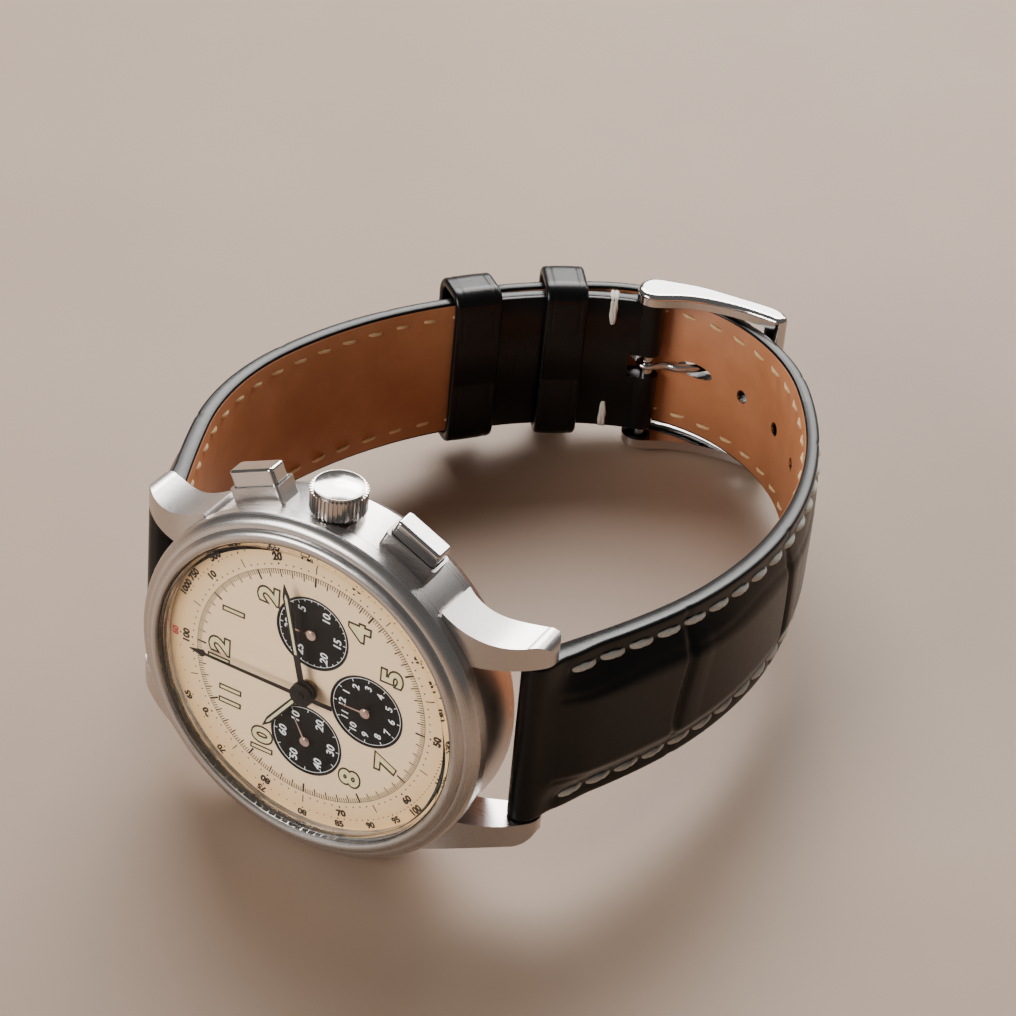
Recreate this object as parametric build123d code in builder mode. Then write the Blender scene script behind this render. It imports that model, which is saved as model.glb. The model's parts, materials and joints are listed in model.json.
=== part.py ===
from build123d import *
import os
from math import atan2, cos, degrees, hypot, radians, sin, sqrt

# A chronograph wristwatch with its strap buckled, lying on its side with the crown up.
# Every piece is drawn dial-up: +X to 3 o'clock (the crown), +Y to 12 o'clock, +Z out of the
# dial, the dial's top face at Z = 0. At the end all pieces are laid down together so that the
# watch rests on the case's back rim and on the buckle. Millimetres.

# ------------------------------------------------------------------ driving dimensions
CASE_RADIUS = 19.9
CAVITY_RADIUS = 17.9
BEZEL_RADIUS = 20.25
CASE_TOP = -1.3
CASE_BOTTOM = -6.1
RIM_BOTTOM = -7.0
BACK_INSIDE = -8.7
BACK_FACE = -10.2
BACK_FLAT_RADIUS = 15.2
LUG_GAP = 20.0
LUG_TIP = 24.15
BAR_AT = 22.4
BAR_LEVEL = -6.0
BAR_RADIUS = 0.75
BAR_TIP_RADIUS = 0.4

CRYSTAL_RADIUS = 17.4
CRYSTAL_SEAT = 0.9
CRYSTAL_EDGE_TOP = 1.95
CRYSTAL_TOP = 2.95
GASKET_RADIUS = 17.6
SEAT_RADIUS = 17.2
FLANGE_TOP = 0.45
DIAL_RADIUS = 17.5
DIAL_THICKNESS = 0.4
SUBDIAL_OFFSET = 6.8
SUBDIAL_RADIUS = 4.22

STEM_LEVEL = -3.44
CROWN_RADIUS = 2.95
CROWN_START = 20.1
CROWN_END = 23.4
PUSHER_ANGLE = 25.1
PUSHER_LEVEL = -3.6
PUSHER_GUARD_TOP = 21.63
PUSHER_TOP = 23.45
ROD_RADIUS = 0.6
ROD_END = 14.3

RUNNING = 0.03       # radial clearance of a turning or sliding fit
PLATE_RADIUS = 14.5
PLATE_TOP = -1.3
PLATE_BOTTOM = -2.3
BRIDGE_TOP = -6.5
BRIDGE_BOTTOM = -7.1

STRAP_LUG_WIDTH = 19.8
STRAP_END_WIDTH = 17.7
ROLL_RADIUS = 1.6
LINING = 0.7
# Each strap piece's inner face is a chain of tangent arcs from the lug: radius and signed turn.
SHORT_HEADING = -64.0
SHORT_ARCS = [(172.0, -5.3), (32.0, -32.5), (54.0, -33.0), (36.5, -24.7)]
LONG_HEADING = -120.0
LONG_ARCS = [(98.0, 9.0), (49.2, 58.3), (24.1, 36.0), (19.0, 51.5), (55.9, 17.7)]
# Total thickness (leather and lining) by distance along the inner face.
SHORT_THICKNESS = [(0.0, 3.2), (7.0, 3.8), (18.0, 3.4), (36.0, 2.4), (54.0, 1.8), (90.0, 1.8)]
LONG_THICKNESS = [(0.0, 3.2), (7.0, 3.8), (18.0, 3.4), (40.0, 2.3), (62.0, 1.7), (130.0, 1.7)]
HOLE_PITCH = 7.3
FIRST_HOLE = 63.2
HOLE_COUNT = 6
BUCKLED_HOLE = 3
FREE_KEEPER_AT = 59.8
FREE_KEEPER_WIDTH = 5.8
FIXED_KEEPER_AT = 70.6
FIXED_KEEPER_WIDTH = 5.0
KEEPER_WALL = 1.1
KEEPER_ROOM = 0.25
BUCKLE_HALF_WIDTH = 10.8
BUCKLE_ARM = 1.5
TONGUE_RADIUS = 0.62
TONGUE_EYE_RADIUS = 1.33
TIP_LENGTH = 6.0       # the rounded end of the long strap piece

os.makedirs("parts", exist_ok=True)


# ------------------------------------------------------------------ geometry helpers
def between(table, value):
    """Straight interpolation in a table of (place, value) pairs."""
    for (a, at_a), (b, at_b) in zip(table, table[1:]):
        if value <= b:
            return at_a + (at_b - at_a) * (value - a) / (b - a)
    return table[-1][1]


def dome_point(reach, top, rim, place):
    """Point on a spherical dome at a distance from its axis: top in the middle, rim at the reach."""
    sphere = (reach**2 + (top - rim) ** 2) / (2 * (top - rim))
    return (place, top - sphere + sqrt(sphere**2 - place**2))


def polar(radius, angle):
    """The point at a radius and an angle in degrees."""
    return (radius * cos(radians(angle)), radius * sin(radians(angle)))


def meeting(first, first_distance, second, second_distance, side):
    """The point at given distances from two others, left (side 1) or right (-1) of their line."""
    dx, dy = second[0] - first[0], second[1] - first[1]
    apart = hypot(dx, dy)
    along = (apart**2 + first_distance**2 - second_distance**2) / (2 * apart)
    aside = side * sqrt(first_distance**2 - along**2)
    x = first[0] + (along * dx - aside * dy) / apart
    y = first[1] + (along * dy + aside * dx) / apart
    return (x, y)


def strap_length(arcs):
    """Length of a chain of arcs."""
    return sum(radius * radians(abs(turn)) for radius, turn in arcs)


def strap_at(piece, distance, depth=0.0):
    """Point (y, z) on a strap piece and its heading, at a distance from the lug along the inner
    face and a depth outward from it. The short piece is on the 12 o'clock side."""
    if piece == "short":
        side, heading, arcs = 1, SHORT_HEADING, SHORT_ARCS
    else:
        side, heading, arcs = -1, LONG_HEADING, LONG_ARCS
    angle = radians(heading)
    y = side * BAR_AT + side * ROLL_RADIUS * sin(angle)
    z = BAR_LEVEL - side * ROLL_RADIUS * cos(angle)
    for place, (radius, turn) in enumerate(arcs):
        bend = (1 if turn > 0 else -1) / radius
        length = radius * radians(abs(turn))
        step = min(distance, length) if place < len(arcs) - 1 else distance
        y += (sin(angle + bend * step) - sin(angle)) / bend
        z -= (cos(angle + bend * step) - cos(angle)) / bend
        angle += bend * step
        distance -= step
        if distance <= 0:
            break
    return (y - side * depth * sin(angle), z + side * depth * cos(angle)), degrees(angle)


def gear_outline(teeth, module, phase, centre=(0.0, 0.0)):
    """Corners of a gear with straight-flanked teeth, one tooth centred at the phase angle."""
    step = 360 / teeth
    root = module * (teeth / 2 - 1.15)
    tip = module * (teeth / 2 + 0.8)
    corners = []
    for tooth in range(teeth):
        for radius, share in ((root, -0.31), (tip, -0.10), (tip, 0.10), (root, 0.31)):
            x, y = polar(radius, phase + (tooth + share) * step)
            corners.append((centre[0] + x, centre[1] + y))
    return corners


def meshed_phase(teeth, phase, centre, other_teeth, other_centre):
    """Phase of a second gear whose gap meets the first gear's tooth on the line of centres."""
    bearing = degrees(atan2(other_centre[1] - centre[1], other_centre[0] - centre[0]))
    step = 360 / teeth
    ahead = (phase - bearing + step / 2) % step - step / 2
    return bearing + 180 - ahead * teeth / other_teeth + 180 / other_teeth


def disc(x, y, radius, low, high):
    """Adds an upright cylinder to the part being built."""
    with BuildSketch(Plane.XY.offset(low)) as outline:
        with Locations((x, y)):
            Circle(radius)
    extrude(outline.sketch, amount=high - low)


def bore(x, y, radius, low, high):
    """Cuts an upright round hole in the part being built."""
    with BuildSketch(Plane.XY.offset(low)) as outline:
        with Locations((x, y)):
            Circle(radius)
    extrude(outline.sketch, amount=high - low, mode=Mode.SUBTRACT)


def ring(x, y, outer, inner, low, high):
    """Adds an upright tube to the part being built."""
    with BuildSketch(Plane.XY.offset(low)) as outline:
        with Locations((x, y)):
            Circle(outer)
            Circle(inner, mode=Mode.SUBTRACT)
    extrude(outline.sketch, amount=high - low)


def toothed(teeth, module, phase, centre, low, high):
    """Adds a gear's toothed disc to the part being built."""
    with BuildSketch(Plane.XY.offset(low)) as outline:
        with BuildLine():
            Polyline(*gear_outline(teeth, module, phase, centre), close=True)
        make_face()
    extrude(outline.sketch, amount=high - low)


def crossings(x, y, outer, inner, spokes, low, high):
    """Cuts the openings between a wheel's spokes."""
    with BuildSketch(Plane.XY.offset(low)) as outline:
        with Locations((x, y)):
            Circle(outer)
            Circle(inner, mode=Mode.SUBTRACT)
            spoke_width = 0.12 * outer + 0.12
            for spoke in range(spokes):
                turn = spoke * 180 / spokes
                Rectangle(2.2 * outer, spoke_width, rotation=turn, mode=Mode.SUBTRACT)
    extrude(outline.sketch, amount=high - low, mode=Mode.SUBTRACT)


def strip(start, end, radius):
    """Adds a round-ended bar between two points to the sketch being drawn."""
    middle = ((start[0] + end[0]) / 2, (start[1] + end[1]) / 2)
    dx, dy = end[0] - start[0], end[1] - start[1]
    with Locations(middle):
        SlotCenterToCenter(hypot(dx, dy), 2 * radius, rotation=degrees(atan2(dy, dx)))


# ------------------------------------------------------------------ case
# The lug's side view and its plan view, each drawn once; their common solid is one lug.
with BuildPart() as lug:
    with BuildSketch(Plane.YZ.offset(LUG_GAP / 2)):
        with BuildLine():
            top = Spline((14.0, -0.75), (17.8, -1.06), (21.9, -3.2), (23.75, -5.1))
            tip = ThreePointArc(top @ 1, (LUG_TIP, -6.6), (23.4, -8.1))
            under = Spline(tip @ 1, (21.4, -7.6), (18.6, -6.25), (14.0, -6.1))
            Line(under @ 1, top @ 0)
        make_face()
    extrude(amount=8.0)
    with BuildSketch(Plane.XY.offset(-9.0)):
        with BuildLine():
            flank = Spline((18.6, 8.0), (14.8, 14.7), (13.2, 18.6), (12.7, 22.2))
            nose = ThreePointArc(flank @ 1, (12.3, 23.7), (11.2, LUG_TIP))
            end = Line(nose @ 1, (LUG_GAP / 2, LUG_TIP))
            inside = Line(end @ 1, (LUG_GAP / 2, 8.0))
            Line(inside @ 1, flank @ 0)
        make_face()
    extrude(amount=9.0, mode=Mode.INTERSECT)
    bore(0, 0, CAVITY_RADIUS, -9.0, 0.0)
    with BuildSketch(Plane.XY.offset(CASE_TOP)):
        Circle(BEZEL_RADIUS + 0.02)
    extrude(amount=3.0, mode=Mode.SUBTRACT)

PUSHER_PLANES = []
for pusher_angle in (PUSHER_ANGLE, -PUSHER_ANGLE):
    away = (*polar(1.0, pusher_angle), 0)
    along = (*polar(1.0, pusher_angle + 90), 0)
    PUSHER_PLANES.append(Plane(origin=(0, 0, PUSHER_LEVEL), x_dir=along, z_dir=away))
STEM_PLANE = Plane(origin=(0, 0, STEM_LEVEL), x_dir=(0, 1, 0), z_dir=(1, 0, 0))

with BuildPart() as mid_case:
    ring(0, 0, CASE_RADIUS, CAVITY_RADIUS, CASE_BOTTOM, CASE_TOP)
    for about in (None, Plane.XZ, Plane.YZ):
        if about is None:
            add(lug.part)
        else:
            add(lug.part.mirror(about))
    add(lug.part.mirror(Plane.XZ).mirror(Plane.YZ))
    for side in (1, -1):
        with BuildSketch(Plane.YZ):
            with Locations((side * BAR_AT, BAR_LEVEL)):
                Circle(BAR_TIP_RADIUS + RUNNING)
        extrude(amount=LUG_GAP / 2 + 1.0, both=True, mode=Mode.SUBTRACT)
    for place in PUSHER_PLANES:
        with BuildSketch(place.offset(17.0)):
            Circle(ROD_RADIUS + RUNNING)
        extrude(amount=4.0, mode=Mode.SUBTRACT)
    with BuildSketch(STEM_PLANE.offset(17.0)):
        Circle(1.1)
    extrude(amount=4.0, mode=Mode.SUBTRACT)
mid_case.part.label = "mid_case"

with BuildPart() as bezel:
    with BuildSketch(Plane.XZ):
        with BuildLine():
            wall = Polyline(
                (CAVITY_RADIUS, FLANGE_TOP),
                (CAVITY_RADIUS, CASE_TOP),
                (BEZEL_RADIUS - 0.25, CASE_TOP),
                (BEZEL_RADIUS, CASE_TOP + 0.35),
                (BEZEL_RADIUS, 0.3),
            )
            slope = ThreePointArc(wall @ 1, (19.85, 1.02), (18.95, 1.38))
            step = Line(slope @ 1, (18.85, 1.66))
            lip = ThreePointArc(step @ 1, (18.2, 2.06), (17.75, 1.98))
            Polyline(
                lip @ 1,
                (GASKET_RADIUS, 1.8),
                (GASKET_RADIUS, CRYSTAL_SEAT),
                (SEAT_RADIUS, CRYSTAL_SEAT),
                (SEAT_RADIUS, FLANGE_TOP),
                wall @ 0,
            )
        make_face()
    revolve(axis=Axis.Z)
bezel.part.label = "bezel"

with BuildPart() as crystal:
    with BuildSketch(Plane.XZ):
        with BuildLine():
            upper = (CRYSTAL_RADIUS - 0.15, CRYSTAL_TOP, CRYSTAL_EDGE_TOP + 0.05)
            lower = (CRYSTAL_RADIUS - 0.6, 2.15, 1.75)
            dome = ThreePointArc(*[dome_point(*upper, share * upper[0]) for share in (0, 0.5, 1)])
            rim = Polyline(
                dome @ 1, (CRYSTAL_RADIUS, CRYSTAL_EDGE_TOP - 0.1), (CRYSTAL_RADIUS, CRYSTAL_SEAT),
                (16.95, CRYSTAL_SEAT), (lower[0], lower[2])
            )
            hollow = [dome_point(*lower, share * lower[0]) for share in (1, 0.5, 0)]
            underside = ThreePointArc(*hollow)
            Line(underside @ 1, dome @ 0)
        make_face()
    revolve(axis=Axis.Z)
crystal.part.label = "crystal"

with BuildPart() as crystal_gasket:
    ring(0, 0, GASKET_RADIUS, CRYSTAL_RADIUS, CRYSTAL_SEAT, 1.6)
crystal_gasket.part.label = "crystal_gasket"

with BuildPart() as caseback:
    with BuildSketch(Plane.XZ):
        with BuildLine():
            back = Polyline(
                (0, BACK_FACE),
                (0, BACK_INSIDE),
                (16.4, BACK_INSIDE),
                (16.8, -5.0),
                (17.75, -5.0),
                (17.75, CASE_BOTTOM),
                (CASE_RADIUS, CASE_BOTTOM),
                (CASE_RADIUS, RIM_BOTTOM),
            )
            flank = ThreePointArc(back @ 1, (18.4, -8.9), (BACK_FLAT_RADIUS, BACK_FACE))
            Line(flank @ 1, back @ 0)
        make_face()
    revolve(axis=Axis.Z)
    ring_groove = (18.1, 18.7)
    with BuildSketch(Plane.XY.offset(CASE_BOTTOM)):
        Circle(ring_groove[1])
        Circle(ring_groove[0], mode=Mode.SUBTRACT)
    extrude(amount=-0.4, mode=Mode.SUBTRACT)
    # Six notches for the case key.
    with BuildSketch(Plane.XY.offset(BACK_FACE)):
        with PolarLocations(17.4, 6):
            Rectangle(2.4, 2.0)
    extrude(amount=1.4, mode=Mode.SUBTRACT)
caseback.part.label = "caseback"

with BuildPart() as caseback_gasket:
    ring(0, 0, ring_groove[1], ring_groove[0], CASE_BOTTOM - 0.4, CASE_BOTTOM)
caseback_gasket.part.label = "caseback_gasket"

with BuildPart() as movement_ring:
    ring(0, 0, 17.8, 14.6, -4.9, -DIAL_THICKNESS)
    for place in PUSHER_PLANES:
        with BuildSketch(place.offset(13.0)):
            Circle(ROD_RADIUS + RUNNING)
        extrude(amount=6.0, mode=Mode.SUBTRACT)
    with BuildSketch(STEM_PLANE.offset(13.0)):
        Circle(0.6)
    extrude(amount=6.0, mode=Mode.SUBTRACT)
movement_ring.part.label = "movement_ring"

# ------------------------------------------------------------------ dial
SUBDIALS = [(SUBDIAL_OFFSET, 0.0), (-SUBDIAL_OFFSET, 0.0), (0.0, -SUBDIAL_OFFSET)]

with BuildPart() as dial:
    with BuildSketch(Plane.XY.offset(-DIAL_THICKNESS)):
        Circle(DIAL_RADIUS)
        Circle(1.0, mode=Mode.SUBTRACT)
        with Locations(*SUBDIALS):
            Circle(SUBDIAL_RADIUS, mode=Mode.SUBTRACT)
    extrude(amount=DIAL_THICKNESS)
dial.part.label = "dial"

with BuildPart() as subdials:
    with BuildSketch(Plane.XY.offset(-DIAL_THICKNESS)):
        with Locations(*SUBDIALS):
            Circle(SUBDIAL_RADIUS)
            Circle(0.3, mode=Mode.SUBTRACT)
    extrude(amount=DIAL_THICKNESS - 0.08)
subdials.part.label = "subdials"

with BuildPart() as dial_flange:
    with BuildSketch(Plane.XZ):
        with BuildLine():
            Polyline(
                (17.0, 0),
                (CAVITY_RADIUS - 0.05, 0),
                (CAVITY_RADIUS - 0.05, FLANGE_TOP),
                (SEAT_RADIUS, FLANGE_TOP),
                close=True,
            )
        make_face()
    revolve(axis=Axis.Z)
dial_flange.part.label = "dial_flange"

# ------------------------------------------------------------------ crown and stem
with BuildPart() as crown_tube:
    with BuildSketch(STEM_PLANE.offset(17.9)):
        Circle(1.1)
        Circle(0.55, mode=Mode.SUBTRACT)
    extrude(amount=21.0 - 17.9)
crown_tube.part.label = "crown_tube"

KNURLS = 40
knurl = [
    (CROWN_RADIUS - 0.22, -0.28),
    (CROWN_RADIUS, -0.14),
    (CROWN_RADIUS, 0.14),
    (CROWN_RADIUS - 0.22, 0.28),
]
with BuildPart() as crown:
    with BuildSketch(STEM_PLANE.offset(CROWN_START)):
        Circle(CROWN_RADIUS - 0.6)
    extrude(amount=0.4)
    with BuildSketch(STEM_PLANE.offset(CROWN_START + 0.3)):
        Circle(CROWN_RADIUS - 0.3)
    extrude(amount=CROWN_END - 0.35 - CROWN_START - 0.3)
    with BuildSketch(STEM_PLANE.offset(CROWN_START + 0.3)):
        with BuildLine():
            Polyline(
                *[
                    polar(radius, (tooth + share) * 360 / KNURLS)
                    for tooth in range(KNURLS)
                    for radius, share in knurl
                ],
                close=True,
            )
        make_face()
    extrude(amount=2.3)
    with BuildSketch(Plane.XZ):
        with BuildLine():
            face = ThreePointArc(
                (CROWN_END, STEM_LEVEL),
                (CROWN_END - 0.06, STEM_LEVEL + 1.4),
                (CROWN_END - 0.3, STEM_LEVEL + 2.55),
            )
            Polyline(
                face @ 1,
                (CROWN_END - 0.6, STEM_LEVEL + 2.65),
                (CROWN_END - 0.6, STEM_LEVEL),
                face @ 0,
            )
        make_face()
    revolve(axis=Axis((0, 0, STEM_LEVEL), (1, 0, 0)))
    # The well that slides over the crown tube, as deep as the tube is long.
    with BuildSketch(STEM_PLANE.offset(CROWN_START)):
        Circle(1.3)
        Circle(0.45, mode=Mode.SUBTRACT)
    extrude(amount=1.2, mode=Mode.SUBTRACT)
crown.part.label = "crown"

STEM_SQUARE = 0.64
STEM_INNER_END = 7.3
STEM_SQUARE_END = 11.6
with BuildPart() as stem:
    with BuildSketch(STEM_PLANE.offset(STEM_INNER_END)):
        Rectangle(STEM_SQUARE, STEM_SQUARE)
    extrude(amount=STEM_SQUARE_END - STEM_INNER_END)
    with BuildSketch(STEM_PLANE.offset(STEM_SQUARE_END)):
        Circle(0.45)
    extrude(amount=CROWN_START - STEM_SQUARE_END)
stem.part.label = "stem"

PINION_START = 8.3
PINION_END = 9.9
with BuildPart() as winding_pinion:
    with BuildSketch(STEM_PLANE.offset(PINION_START)):
        Circle(0.8)
    extrude(amount=PINION_END - PINION_START)
    with BuildSketch(STEM_PLANE.offset(PINION_START)):
        with BuildLine():
            Polyline(*gear_outline(14, 0.125, 0.0), close=True)
        make_face()
    extrude(amount=0.6)
    with BuildSketch(STEM_PLANE.offset(PINION_START)):
        Rectangle(STEM_SQUARE + 2 * RUNNING, STEM_SQUARE + 2 * RUNNING)
    extrude(amount=PINION_END - PINION_START, mode=Mode.SUBTRACT)
winding_pinion.part.label = "winding_pinion"

# ------------------------------------------------------------------ pushers
GUARD_HALF = (3.14, 1.55)
CAP_HALF = (2.77, 1.2)
CAP_BOTTOM = 21.45
POCKET_FLOOR = 20.45

with BuildPart() as pusher_guards:
    for place in PUSHER_PLANES:
        with BuildSketch(place.offset(19.0)):
            RectangleRounded(2 * GUARD_HALF[0], 2 * GUARD_HALF[1], 0.45)
        extrude(amount=PUSHER_GUARD_TOP - 19.0)
        with BuildSketch(place.offset(POCKET_FLOOR)):
            RectangleRounded(2 * CAP_HALF[0] + 0.16, 2 * CAP_HALF[1] + 0.16, 0.5)
        extrude(amount=2.0, mode=Mode.SUBTRACT)
        with BuildSketch(place.offset(18.5)):
            Circle(ROD_RADIUS + RUNNING)
        extrude(amount=3.0, mode=Mode.SUBTRACT)
    bore(0, 0, CASE_RADIUS, -8.0, 0.0)
pusher_guards.part.label = "pusher_guards"

pushers = []
for name, place in zip(("start_pusher", "reset_pusher"), PUSHER_PLANES):
    with BuildPart() as pusher:
        with BuildSketch(place.offset(CAP_BOTTOM)):
            RectangleRounded(2 * CAP_HALF[0], 2 * CAP_HALF[1], 0.42)
        extrude(amount=PUSHER_TOP - CAP_BOTTOM)
        top_face = pusher.faces().sort_by(Axis(place.origin, place.z_dir))[-1]
        fillet(top_face.edges(), 0.3)
        with BuildSketch(place.offset(ROD_END)):
            Circle(ROD_RADIUS)
        extrude(amount=CAP_BOTTOM - ROD_END)
    pusher.part.label = name
    pushers.append(pusher)

# ------------------------------------------------------------------ movement: fixed pieces
CENTRE = (0.0, 0.0)
MINUTE_COUNTER = (SUBDIAL_OFFSET, 0.0)
FOURTH = (-SUBDIAL_OFFSET, 0.0)
HOUR_COUNTER = (0.0, -SUBDIAL_OFFSET)
BARREL_MODULE = 0.12
BARREL_TEETH = 84
CENTRE_LEAVES = 12
TRAIN_MODULE = 0.10
CENTRE_TEETH = 80
THIRD_LEAVES = 10
THIRD_TEETH = 75
FOURTH_LEAVES = 10
ESCAPE_MODULE = 0.08
FOURTH_TEETH = 84
ESCAPE_LEAVES = 7
ESCAPE_RADIUS = 1.6
CHRONO_MODULE = 0.14
CHRONO_LEAVES = 8
MINUTE_IDLER_TEETH = 40
MINUTE_COUNTER_TEETH = 48
HOUR_IDLER_MODULE = 0.22
HOUR_IDLER_TEETH = 36
HOUR_IDLER_DRIVER = 6
HOUR_COUNTER_MODULE = 0.23
HOUR_COUNTER_TEETH = 36
HOUR_COUNTER_DRIVER = 9
MOTION_DISTANCE = 3.0

BARREL = polar(BARREL_MODULE * (BARREL_TEETH + CENTRE_LEAVES) / 2, 58.5)
THIRD = meeting(
    CENTRE,
    TRAIN_MODULE * (CENTRE_TEETH + THIRD_LEAVES) / 2,
    FOURTH,
    TRAIN_MODULE * (THIRD_TEETH + FOURTH_LEAVES) / 2,
    1,
)
ESCAPE_ASIDE = 0.63
ESCAPE_DISTANCE = ESCAPE_MODULE * (FOURTH_TEETH + ESCAPE_LEAVES) / 2
ESCAPE = (FOURTH[0] - ESCAPE_ASIDE, sqrt(ESCAPE_DISTANCE**2 - ESCAPE_ASIDE**2))
PALLET = (ESCAPE[0] + 1.0, ESCAPE[1] + sqrt(3.0))
BALANCE = (PALLET[0] + 1.5, PALLET[1] + 1.5 * sqrt(3.0))
MINUTE_IDLER = meeting(
    CENTRE, CHRONO_MODULE * (CHRONO_LEAVES + MINUTE_IDLER_TEETH) / 2,
    MINUTE_COUNTER, CHRONO_MODULE * (CHRONO_LEAVES + MINUTE_COUNTER_TEETH) / 2, 1
)
HOUR_IDLER = meeting(
    MINUTE_COUNTER, HOUR_IDLER_MODULE * (HOUR_IDLER_DRIVER + HOUR_IDLER_TEETH) / 2,
    HOUR_COUNTER, HOUR_COUNTER_MODULE * (HOUR_COUNTER_DRIVER + HOUR_COUNTER_TEETH) / 2, 1
)
MINUTE_WHEEL = polar(MOTION_DISTANCE, 250)
PILLARS = [polar(12.5, angle) for angle in (75, 190, 235, 300)]
COCK_PILLAR = polar(12.5, 150)
COLUMN_WHEEL = (9.6, 3.6)
LEVER_PIVOT = polar(12.8, 45)
HAMMER_PIVOT = polar(12.8, -45)
PALLET_POSTS = [(-8.6, 7.2), (-3.6, 4.9)]
LEVER_LOW = -4.0
LEVER_HIGH = -3.2
PIVOT = 0.15
PIVOT_DEPTH = 0.5
BALANCE_RADIUS = 4.0

with BuildPart() as mainplate:
    disc(0, 0, PLATE_RADIUS, PLATE_BOTTOM, PLATE_TOP)
    ring(0, 0, PLATE_RADIUS, 13.4, PLATE_TOP, -DIAL_THICKNESS)
    for x, y in PILLARS:
        disc(x, y, 0.9, BRIDGE_TOP, PLATE_BOTTOM)
    disc(*COCK_PILLAR, 1.0, -5.6, PLATE_BOTTOM)
    for x, y in (LEVER_PIVOT, HAMMER_PIVOT):
        disc(x, y, 0.5, LEVER_LOW - 0.2, PLATE_BOTTOM)
    disc(*COLUMN_WHEEL, 0.35, -4.7, PLATE_BOTTOM)
    disc(*MINUTE_WHEEL, 0.25, PLATE_TOP, -0.85)
    for x, y in PALLET_POSTS:
        disc(x, y, 0.45, -4.1, PLATE_BOTTOM)
    with BuildSketch(STEM_PLANE.offset(10.4)):
        with Locations((0, 0)):
            Rectangle(2.6, 2.4)
    extrude(amount=2.0)
    with BuildSketch(STEM_PLANE.offset(10.4)):
        Circle(0.45 + 2 * RUNNING)
    extrude(amount=5.0, mode=Mode.SUBTRACT)
    bore(*CENTRE, 0.36 + RUNNING, -3.0, 0.0)
    for x, y in (MINUTE_COUNTER, FOURTH, HOUR_COUNTER):
        bore(x, y, 0.2 + RUNNING, -3.0, 0.0)
    for x, y in (BARREL, THIRD, ESCAPE, PALLET, BALANCE):
        bore(x, y, PIVOT + RUNNING, PLATE_BOTTOM, PLATE_BOTTOM + PIVOT_DEPTH + 0.05)
    for x, y in PILLARS:
        bore(x, y, 0.4, BRIDGE_TOP, BRIDGE_TOP + 1.6)
mainplate.part.label = "mainplate"

with BuildPart() as top_bridge:
    disc(0, 0, 14.3, BRIDGE_BOTTOM, BRIDGE_TOP)
    # The studs that the two idler wheels turn on, and the post of the rotor.
    disc(*MINUTE_IDLER, 0.25, BRIDGE_TOP, -4.8)
    disc(*HOUR_IDLER, 0.25, BRIDGE_TOP, -5.65)
    disc(*CENTRE, 0.9, -8.0, BRIDGE_BOTTOM)
    disc(*CENTRE, 1.6, -7.25, BRIDGE_BOTTOM)
    for x, y in (CENTRE, MINUTE_COUNTER, HOUR_COUNTER, BARREL, THIRD, FOURTH, ESCAPE):
        bore(x, y, PIVOT + RUNNING, BRIDGE_TOP - PIVOT_DEPTH - 0.05, BRIDGE_TOP)
    for x, y in PILLARS:
        bore(x, y, 0.4, BRIDGE_BOTTOM, BRIDGE_TOP)
        bore(x, y, 0.8, BRIDGE_BOTTOM, BRIDGE_BOTTOM + 0.35)
    # Sight openings over the balance and the column wheel.
    bore(*BALANCE, 3.1, BRIDGE_BOTTOM, BRIDGE_TOP)
    bore(*COLUMN_WHEEL, 1.5, BRIDGE_BOTTOM, BRIDGE_TOP)
top_bridge.part.label = "top_bridge"

with BuildPart() as bridge_screws:
    for x, y in PILLARS:
        disc(x, y, 0.75, BRIDGE_BOTTOM + 0.05, BRIDGE_BOTTOM + 0.35)
        disc(x, y, 0.38, BRIDGE_BOTTOM + 0.35, BRIDGE_TOP + 1.4)
    with BuildSketch(Plane.XY.offset(BRIDGE_BOTTOM + 0.05)):
        with Locations(*PILLARS):
            Rectangle(1.6, 0.22, rotation=30)
    extrude(amount=0.14, mode=Mode.SUBTRACT)
bridge_screws.part.label = "bridge_screws"

with BuildPart() as balance_cock:
    with BuildSketch(Plane.XY.offset(-6.1)):
        strip(COCK_PILLAR, BALANCE, 1.0)
    extrude(amount=0.5)
    bore(*BALANCE, PIVOT + RUNNING, -5.95, -5.6)
    # The stud that holds the hairspring's outer end.
    disc(BALANCE[0] - 2.57, BALANCE[1], 0.15, -5.6, -5.42)
balance_cock.part.label = "balance_cock"

HAIRSPRING_TURNS = 6
HAIRSPRING_START = 0.55
HAIRSPRING_PITCH = 0.34
HAIRSPRING_STRIP = 0.05
with BuildPart() as hairspring:
    with BuildSketch(Plane.XY.offset(-5.42)):
        with BuildLine():
            # Half circles, each wider than the last by half the pitch, drawn out along the
            # outer edge and back along the inner edge.
            edge = (BALANCE[0] - HAIRSPRING_START, BALANCE[1])
            edge_radius = HAIRSPRING_START
            upward = -1
            reached = edge
            for half_turn in range(2 * HAIRSPRING_TURNS):
                arc = JernArc(reached, (0, upward), edge_radius, 180)
                reached = tuple(arc @ 1)[:2]
                edge_radius += HAIRSPRING_PITCH / 2
                upward = -upward
            last_radius = edge_radius - HAIRSPRING_PITCH / 2
            inner = (reached[0] + HAIRSPRING_STRIP, reached[1])
            Line(reached, inner)
            for half_turn in range(2 * HAIRSPRING_TURNS):
                arc = JernArc(inner, (0, -upward), last_radius - HAIRSPRING_STRIP, -180)
                inner = tuple(arc @ 1)[:2]
                last_radius -= HAIRSPRING_PITCH / 2
                upward = -upward
            Line(inner, edge)
        make_face()
    extrude(amount=0.12)
hairspring.part.label = "hairspring"

with BuildPart() as pallet_bridge:
    with BuildSketch(Plane.XY.offset(-4.35)):
        for post in PALLET_POSTS:
            strip(post, PALLET, 0.5)
    extrude(amount=0.25)
    bore(*PALLET, PIVOT + RUNNING, -4.35, -4.1)
pallet_bridge.part.label = "pallet_bridge"

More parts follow.
